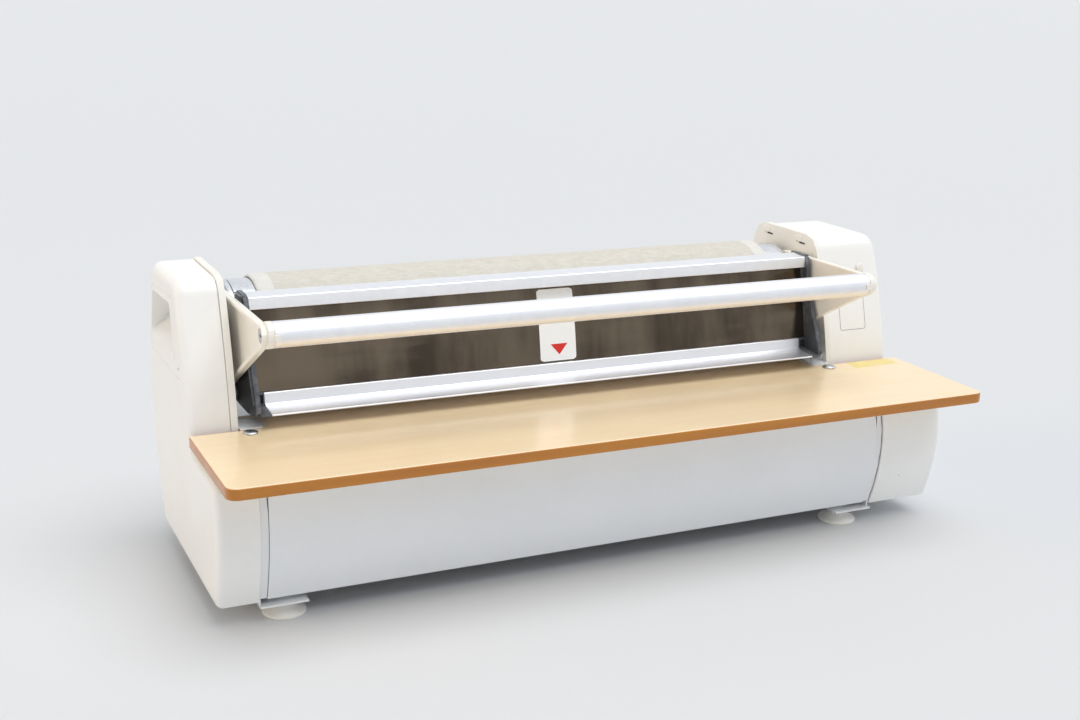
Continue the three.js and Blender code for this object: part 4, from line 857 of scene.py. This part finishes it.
def wrap(name, start, end, slotName, node, along, wrinkle):
    piece = ruled(name, wrapped, {
        "Start": start * mm, "End": end * mm, "Radius": cover["radius"] * mm, "Thickness": cover["thickness"] * mm,
        "Wrinkle": wrinkle * mm, "Along": along, "Cloth": looks[slotName]})
    for point in piece.data.vertices:
        past = (abs(point.co.x) / mm - cover["tuckFrom"]) / (cover["tapeTo"] - cover["tuckFrom"])
        if past > 0:
            drawn = 1 - cover["tuckDrop"] * mm * past ** 2 / math.hypot(point.co.y, point.co.z)
            point.co.y *= drawn
            point.co.z *= drawn
    piece.data.transform(Matrix.Translation(spot(*axis)))
    mend(piece.data)
    piece.data.shade_smooth()
    piece.data.set_sharp_from_angle(angle=math.radians(50))
    return seat(piece, "roller", slotName, (node,))


near, far = cover["tapeFrom"], cover["tapeTo"]
cloth = wrap("rollerCloth", -cover["clothHalf"], cover["clothHalf"], "iron_cloth", "roller_cloth", 140, 0.5)
leftEdging = wrap("leftClothEdging", -far, -near, "edging_tape", "left_cloth_edging", 24, 0.15)
rightEdging = wrap("rightClothEdging", near, far, "edging_tape", "right_cloth_edging", 24, 0.15)
print("cloth wrapped")


# rows of repeated small pieces: each row is set round a circle by rule

def rowRule():
    rule, given, out = newRule("ringOfPieces", (
        ("Radius", "Float", 0.08), ("Count", "Int", 12), ("Length", "Float", 0.002), ("Width", "Float", 0.0005),
        ("Height", "Float", 0.0003), ("Finish", "Material", None)))
    circle = put(rule, "GeometryNodeMeshCircle", {"Vertices": given["Count"], "Radius": given["Radius"]}).outputs[0]
    bead = put(rule, "GeometryNodeMeshIcoSphere", {"Radius": 0.5, "Subdivisions": 2}).outputs[0]
    size = combine(rule, given["Width"], given["Length"], given["Height"])
    shaped = put(rule, "GeometryNodeTransform", {"Geometry": bead, "Scale": size}).outputs[0]
    number = put(rule, "GeometryNodeInputIndex").outputs[0]
    turn = calc(rule, "DIVIDE", calc(rule, "MULTIPLY", number, math.tau), given["Count"])
    # each piece lies flat on the circle, its length along it
    standing = combine(rule, 0.0, math.pi / 2, turn)
    layout = {"Points": circle, "Instance": shaped, "Rotation": standing}
    placed = put(rule, "GeometryNodeInstanceOnPoints", layout).outputs[0]
    finishRule(rule, placed, given["Finish"], out)
    return rule


ringOfPieces = rowRule()
stitches = {"places": (406.2, 424.2), "radius": 83.95, "count": 132, "length": 2.6, "width": 0.55, "height": 0.4}
for side, way in sides:
    name = side + "EdgingStitches"
    work = bmesh.new()
    for x in stitches["places"]:
        row = ruled(name + "Row", ringOfPieces, {
            "Radius": stitches["radius"] * mm, "Count": stitches["count"], "Length": stitches["length"] * mm,
            "Width": stitches["width"] * mm, "Height": stitches["height"] * mm, "Finish": looks["edging_tape"]})
        standing = Matrix.Rotation(math.pi / 2, 4, "Y")
        row.data.transform(Matrix.Translation(spot(way * x, rollerY, rollerZ)) @ standing)
        work.from_mesh(row.data)
        bpy.data.objects.remove(row)
    stitched = place(name, bpy.data.meshes.new(name))
    work.to_mesh(stitched.data)
    work.free()
    mend(stitched.data)
    stitched.data.shade_smooth()
    seat(stitched, "roller", "edging_tape", ())
print("stitches set")


# pressing bar, the shoe's extrusions and its sheet cover

shoe = {
    "barEnd": [(15.5, 466.5), (16.7, 466.5), (17.5, 465.9)], "barAxis": (0, -104.5, 388.7),
    "upper": [(42, 404), (39.5, 387), (72, 387), (80, 396), (75, 406)], "upperCuts": [1.6, 1.2, 1, 3, 3],
    "lowerHead": [(34, 272.5), (23, 272.5), (20, 256)], "lowerCuts": [1, 1.4, 3], "lowerFoot": [(58, 245), (64, 262)],
    "lip": ([(17, 255.6), (8, 255.4), (-17.4, 253.2)], [(-17.4, 253.2), (-18.7, 252.4), (-18.2, 250.9)],
            [(-18.2, 250.9), (4, 249), (26, 245)]),
    "upperHalf": 459.2, "lowerHalf": 445.5, "upperRound": 0.6, "lowerRound": 0.5, "coverTop": (54.5, 386.4),
    "coverFoot": (28, 273.1), "bow": 2.5, "bowRun": 117, "sheet": 1.2,
}
lathe("pressingBar", bothEnds(shoe["barEnd"]), shoe["barAxis"], "shoe", "satin_aluminium", "pressing_bar", count=128,
      hollow=True)
form = Form()
form.push(softened(shoe["upper"], shoe["upperCuts"], 4), -shoe["upperHalf"], shoe["upperHalf"],
          shoe["upperRound"], shoe["upperRound"], 2)
settle("upperProfile", form, "shoe", "satin_aluminium", "upper_profile", sharp=44)
lowerOutline = softened(shoe["lowerHead"], shoe["lowerCuts"], 4)
for curve, count in zip(shoe["lip"], (8, 3, 8)):
    lowerOutline += bezier(curve, count)
form = Form()
form.push(lowerOutline + shoe["lowerFoot"], -shoe["lowerHalf"], shoe["lowerHalf"], shoe["lowerRound"],
          shoe["lowerRound"], 2)
settle("lowerProfile", form, "shoe", "satin_aluminium", "lower_profile", sharp=44)
coverTop, coverFoot = Vector(shoe["coverTop"]), Vector(shoe["coverFoot"])


def bowPoint(share, lift=0.0):
    # a point of the bowed cover's front, its share of the way down and its lift off the sheet
    here = coverTop.lerp(coverFoot, share) - Vector((shoe["bow"] * math.sin(math.pi * share), 0))
    lean = Vector((-shoe["bow"] * math.pi * math.cos(math.pi * share), 0)) / shoe["bowRun"]
    slope = (coverFoot - coverTop).normalized() + lean
    return here + Vector((slope.y, -slope.x)).normalized() * lift


front = [bowPoint(i / 24) for i in range(25)]
form = Form()
form.push([tuple(p) for p in front] + [(p.x + shoe["sheet"], p.y) for p in reversed(front)], -shoe["upperHalf"],
          shoe["upperHalf"])
# the cover's dark colour is a painted reflection of a dark room in polished steel
settle("shoeCover", form, "shoe", "bronzed_steel", "shoe_cover")


# the label on the sheet cover and its plain triangle

label = {"left": -20.0, "right": 40.0, "topAt": 0.048, "footAt": 0.985, "corner": 5.0, "rows": 48, "run": 116,
         "lift": (0.02, 0.14)}
mark = {"left": -2.5, "right": 25.9, "topAt": 0.762, "tall": 0.14, "drawnIn": 14.2, "rows": 6, "tipRow": 6.2,
        "lift": (0.15, 0.2)}


def bowStrip(stations, near, far):
    # stations are (share of the way down, left x, right x)
    form = Form()
    rings = []
    for share, left, right in stations:
        front, back = bowPoint(share, far), bowPoint(share, near)
        rings.append(form.ring([(left, *front), (right, *front), (right, *back), (left, *back)]))
    form.skin(*rings)
    form.fill(rings[0])
    form.fill(rings[-1])
    return form


def labelRows():
    made = []
    for i in range(label["rows"] + 1):
        share = label["topAt"] + (label["footAt"] - label["topAt"]) * i / label["rows"]
        edge = min(share - label["topAt"], label["footAt"] - share) * label["run"]
        corner = label["corner"]
        cut = corner - math.sqrt(corner ** 2 - (corner - min(edge, corner)) ** 2)
        made.append((share, label["left"] + cut, label["right"] - cut))
    return made


def markRows():
    made = []
    for i in range(mark["rows"] + 1):
        cut = mark["drawnIn"] * i / mark["tipRow"]
        made.append((mark["topAt"] + mark["tall"] * i / mark["rows"], mark["left"] + cut, mark["right"] - cut))
    return made


settle("warningLabel", bowStrip(labelRows(), *label["lift"]), "shoe", "label_white")
settle("labelTriangle", bowStrip(markRows(), *mark["lift"]), "shoe", "label_red")
print("shoe made")


# adjustable feet and the board's bolts

feet = {
    "x": 457, "front": -100, "rear": 168,
    "profile": [(0, 0), (28, 0), (29.1, 0.5), (29.5, 1.6), (29.5, 3.6), (29.1, 4.6), (28, 5.3), (20.5, 9.2),
                (16, 12.4), (13.2, 15), (12.2, 17), (12, 19), (12, 22.6), (11.2, 23.5), (8.5, 23.5), (8.5, 34.4),
                (7.9, 35), (0, 35)],
}
bolt = {
    "x": 477, "y": -22,
    "profile": [(0, 207), (4.6, 207), (4.6, 231.6), (9.6, 232.3), (10.5, 232.8), (10.5, 233.6), (9.4, 234.6),
                (6.4, 235.5), (3, 235.8), (0, 235.8)],
}
for side, way in sides:
    for end in ("front", "rear"):
        lathe(end + side.capitalize() + "Foot", feet["profile"], (way * feet["x"], feet[end], 0), "machine",
              "cream_plastic", f"{end}_{side}_foot", axis="z")
for side, way in sides:
    lathe(side + "TableBolt", bolt["profile"], (way * bolt["x"], bolt["y"], 0), "machine", "zinc_steel",
          f"{side}_table_bolt", axis="z")

# the pieces that keep the frame's mesh: the width of their softened edges and the steps in it
softEdges = {
    "{}_inner_panel": (0.6, 3), "{}_table_clip": (0.7, 2), "{}_side_frame": (0.5, 1), "front_cover": (1.6, 3),
    "rear_cover": (1.4, 2), "rear_deck": (1.2, 2), "front_rail": (0.8, 2), "rear_rail": (0.8, 2),
    "{}_shoe_end": (0.7, 2), "{}_bar_arm": (0.7, 2), "{}_arm_screw": (0.3, 2), "{}_pivot_bush": (0.3, 2),
    "pilot_lamp": (0.3, 2), "thermostat_dial": (0.4, 2), "switch_housing": (0.5, 2), "power_rocker": (0.6, 3),
    "mains_gland": (0.5, 2), "gearbox": (0.8, 2), "drive_motor": (0.8, 2),
}
for pattern, (width, segments) in softEdges.items():
    for side in ("left", "right") if "{}" in pattern else ("",):
        refine(pattern.format(side), width, segments)

# the crossed slots in the arm screws' heads, painted in as black crosses for the shade in their recesses
cross = {"half": 0.65, "long": 3.1, "turned": 25, "deep": 0.5, "proud": 0.05}
corners = ((cross["half"], -cross["half"]), (cross["long"], -cross["half"]), (cross["long"], cross["half"]))
for side, way in sides:
    low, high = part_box(f"{side}_arm_screw")
    head = ((low if way < 0 else high) - drawingOrigin) / mm
    middle = ((low + high) / 2 - drawingOrigin) / mm
    outline = []
    for quarter in range(4):
        a = math.radians(90 * quarter + cross["turned"])
        along, across = Vector((math.cos(a), math.sin(a))), Vector((-math.sin(a), math.cos(a)))
        outline += [tuple(Vector((middle.y, middle.z)) + along * far + across * aside) for far, aside in corners]
    form = Form()
    form.push(outline, head.x - way * cross["deep"], head.x + way * cross["proud"])
    settle(side + "ArmScrewSlot", form, "shoe", "black_plastic")
print("edges softened")


# blank labels: two yellow ones on the board and a bare outlined plate on the drive-side gable's leaning front

boardLabels = {"across": ((519, 563), (566, 604)), "front": -40, "rear": -9, "corner": 3, "low": 232.02, "high": 232.14}
form = Form()
for left, right in boardLabels["across"]:
    front, rear = boardLabels["front"], boardLabels["rear"]
    form.push(softened([(left, front), (right, front), (right, rear), (left, rear)], boardLabels["corner"]),
              boardLabels["low"], boardLabels["high"], upright=True)
settle("boardLabels", form, "machine", "label_yellow")


def leanY(z):
    for (ya, za), (yb, zb) in zip(gableOutline, gableOutline[1:]):
        if za <= z <= zb and ya < 100:
            return ya + (yb - ya) * (z - za) / max(zb - za, 1e-6)
    return 0.0


plate = {"left": 522.0, "right": 573.0, "low": 281.0, "high": 343.0, "corner": 5.0, "line": 0.9, "proud": 0.25,
         "step": 3}
plateLoop = softened([(plate["left"], plate["low"]), (plate["right"], plate["low"]),
                      (plate["right"], plate["high"]), (plate["left"], plate["high"])], plate["corner"], 8)
dense = []
for i, (ax, az) in enumerate(plateLoop):
    bx, bz = plateLoop[(i + 1) % len(plateLoop)]
    steps = max(1, round(math.hypot(bx - ax, bz - az) / plate["step"]))
    dense += [(ax + (bx - ax) * k / steps, az + (bz - az) * k / steps) for k in range(steps)]
form = Form()
rings = []
for drawn, lift in ((0, 0.02), (0, plate["proud"]), (plate["line"], plate["proud"]), (plate["line"], 0.02), (0, 0.02)):
    rings.append(form.ring([(x, leanY(z) - lift, z) for x, z in inset(dense, drawn)]))
form.skin(*rings)
settle("plateOutline", form, "machine", "label_grey")

# black pieces stand in as painted shade in the gaps under the inner panels' snap latches
latch = {"places": (92, 186), "half": 8, "low": 414.6, "high": 417.4, "corner": 0.8, "near": 487.75, "far": 488.6}
for side, way in sides:
    form = Form()
    for y in latch["places"]:
        front, rear = y - latch["half"], y + latch["half"]
        gap = [(front, latch["low"]), (rear, latch["low"]), (rear, latch["high"]), (front, latch["high"])]
        form.push(softened(gap, latch["corner"], 3), way * latch["near"], way * latch["far"])
    settle(side + "LatchGapShade", form, "machine", "black_plastic")
print("labels set")


# studio

def makeFloor(settings):
    half = settings["floorSize"] / 2
    mesh = bpy.data.meshes.new("studioFloor")
    mesh.from_pydata([(-half, -half, 0), (half, -half, 0), (half, half, 0), (-half, half, 0)], [], [(0, 1, 2, 3)])
    floor = bpy.data.objects.new("studioFloor", mesh)
    scene.collection.objects.link(floor)
    material, tree, shader = newMaterial("floorPaper", {"Roughness": 0.6, "Specular IOR Level": 0.3})
    cloud = calc(tree, "MULTIPLY", mottle(tree, objectPoint(tree), 0.8, 2.0), 0.1)
    painted(tree, shader, blendTones(tree, cloud, tone(settings["floorTone"]), tone(settings["floorCloud"])))
    mesh.materials.append(material)


def makeSky(settings):
    world = bpy.data.worlds.new("studioSky")
    world.use_nodes = True
    tree = world.node_tree
    tree.nodes.clear()
    path = put(tree, "ShaderNodeLightPath").outputs
    # seen and mirrored, the sky is at full strength; as a light it is dimmer
    mirrored = calc(tree, "MAXIMUM", path["Is Glossy Ray"], path["Is Transmission Ray"])
    power = pick(tree, calc(tree, "MAXIMUM", path["Is Camera Ray"], mirrored), settings["skyLight"], 1.0)
    back = put(tree, "ShaderNodeBackground", {"Color": tone(settings["skyTone"]), "Strength": power})
    tree.links.new(back.outputs[0], put(tree, "ShaderNodeOutputWorld").inputs[0])
    scene.world = world


makeCamera(cameraView)
makeLights(studio)
makeFloor(studio)
makeSky(studio)
print("studio set up")
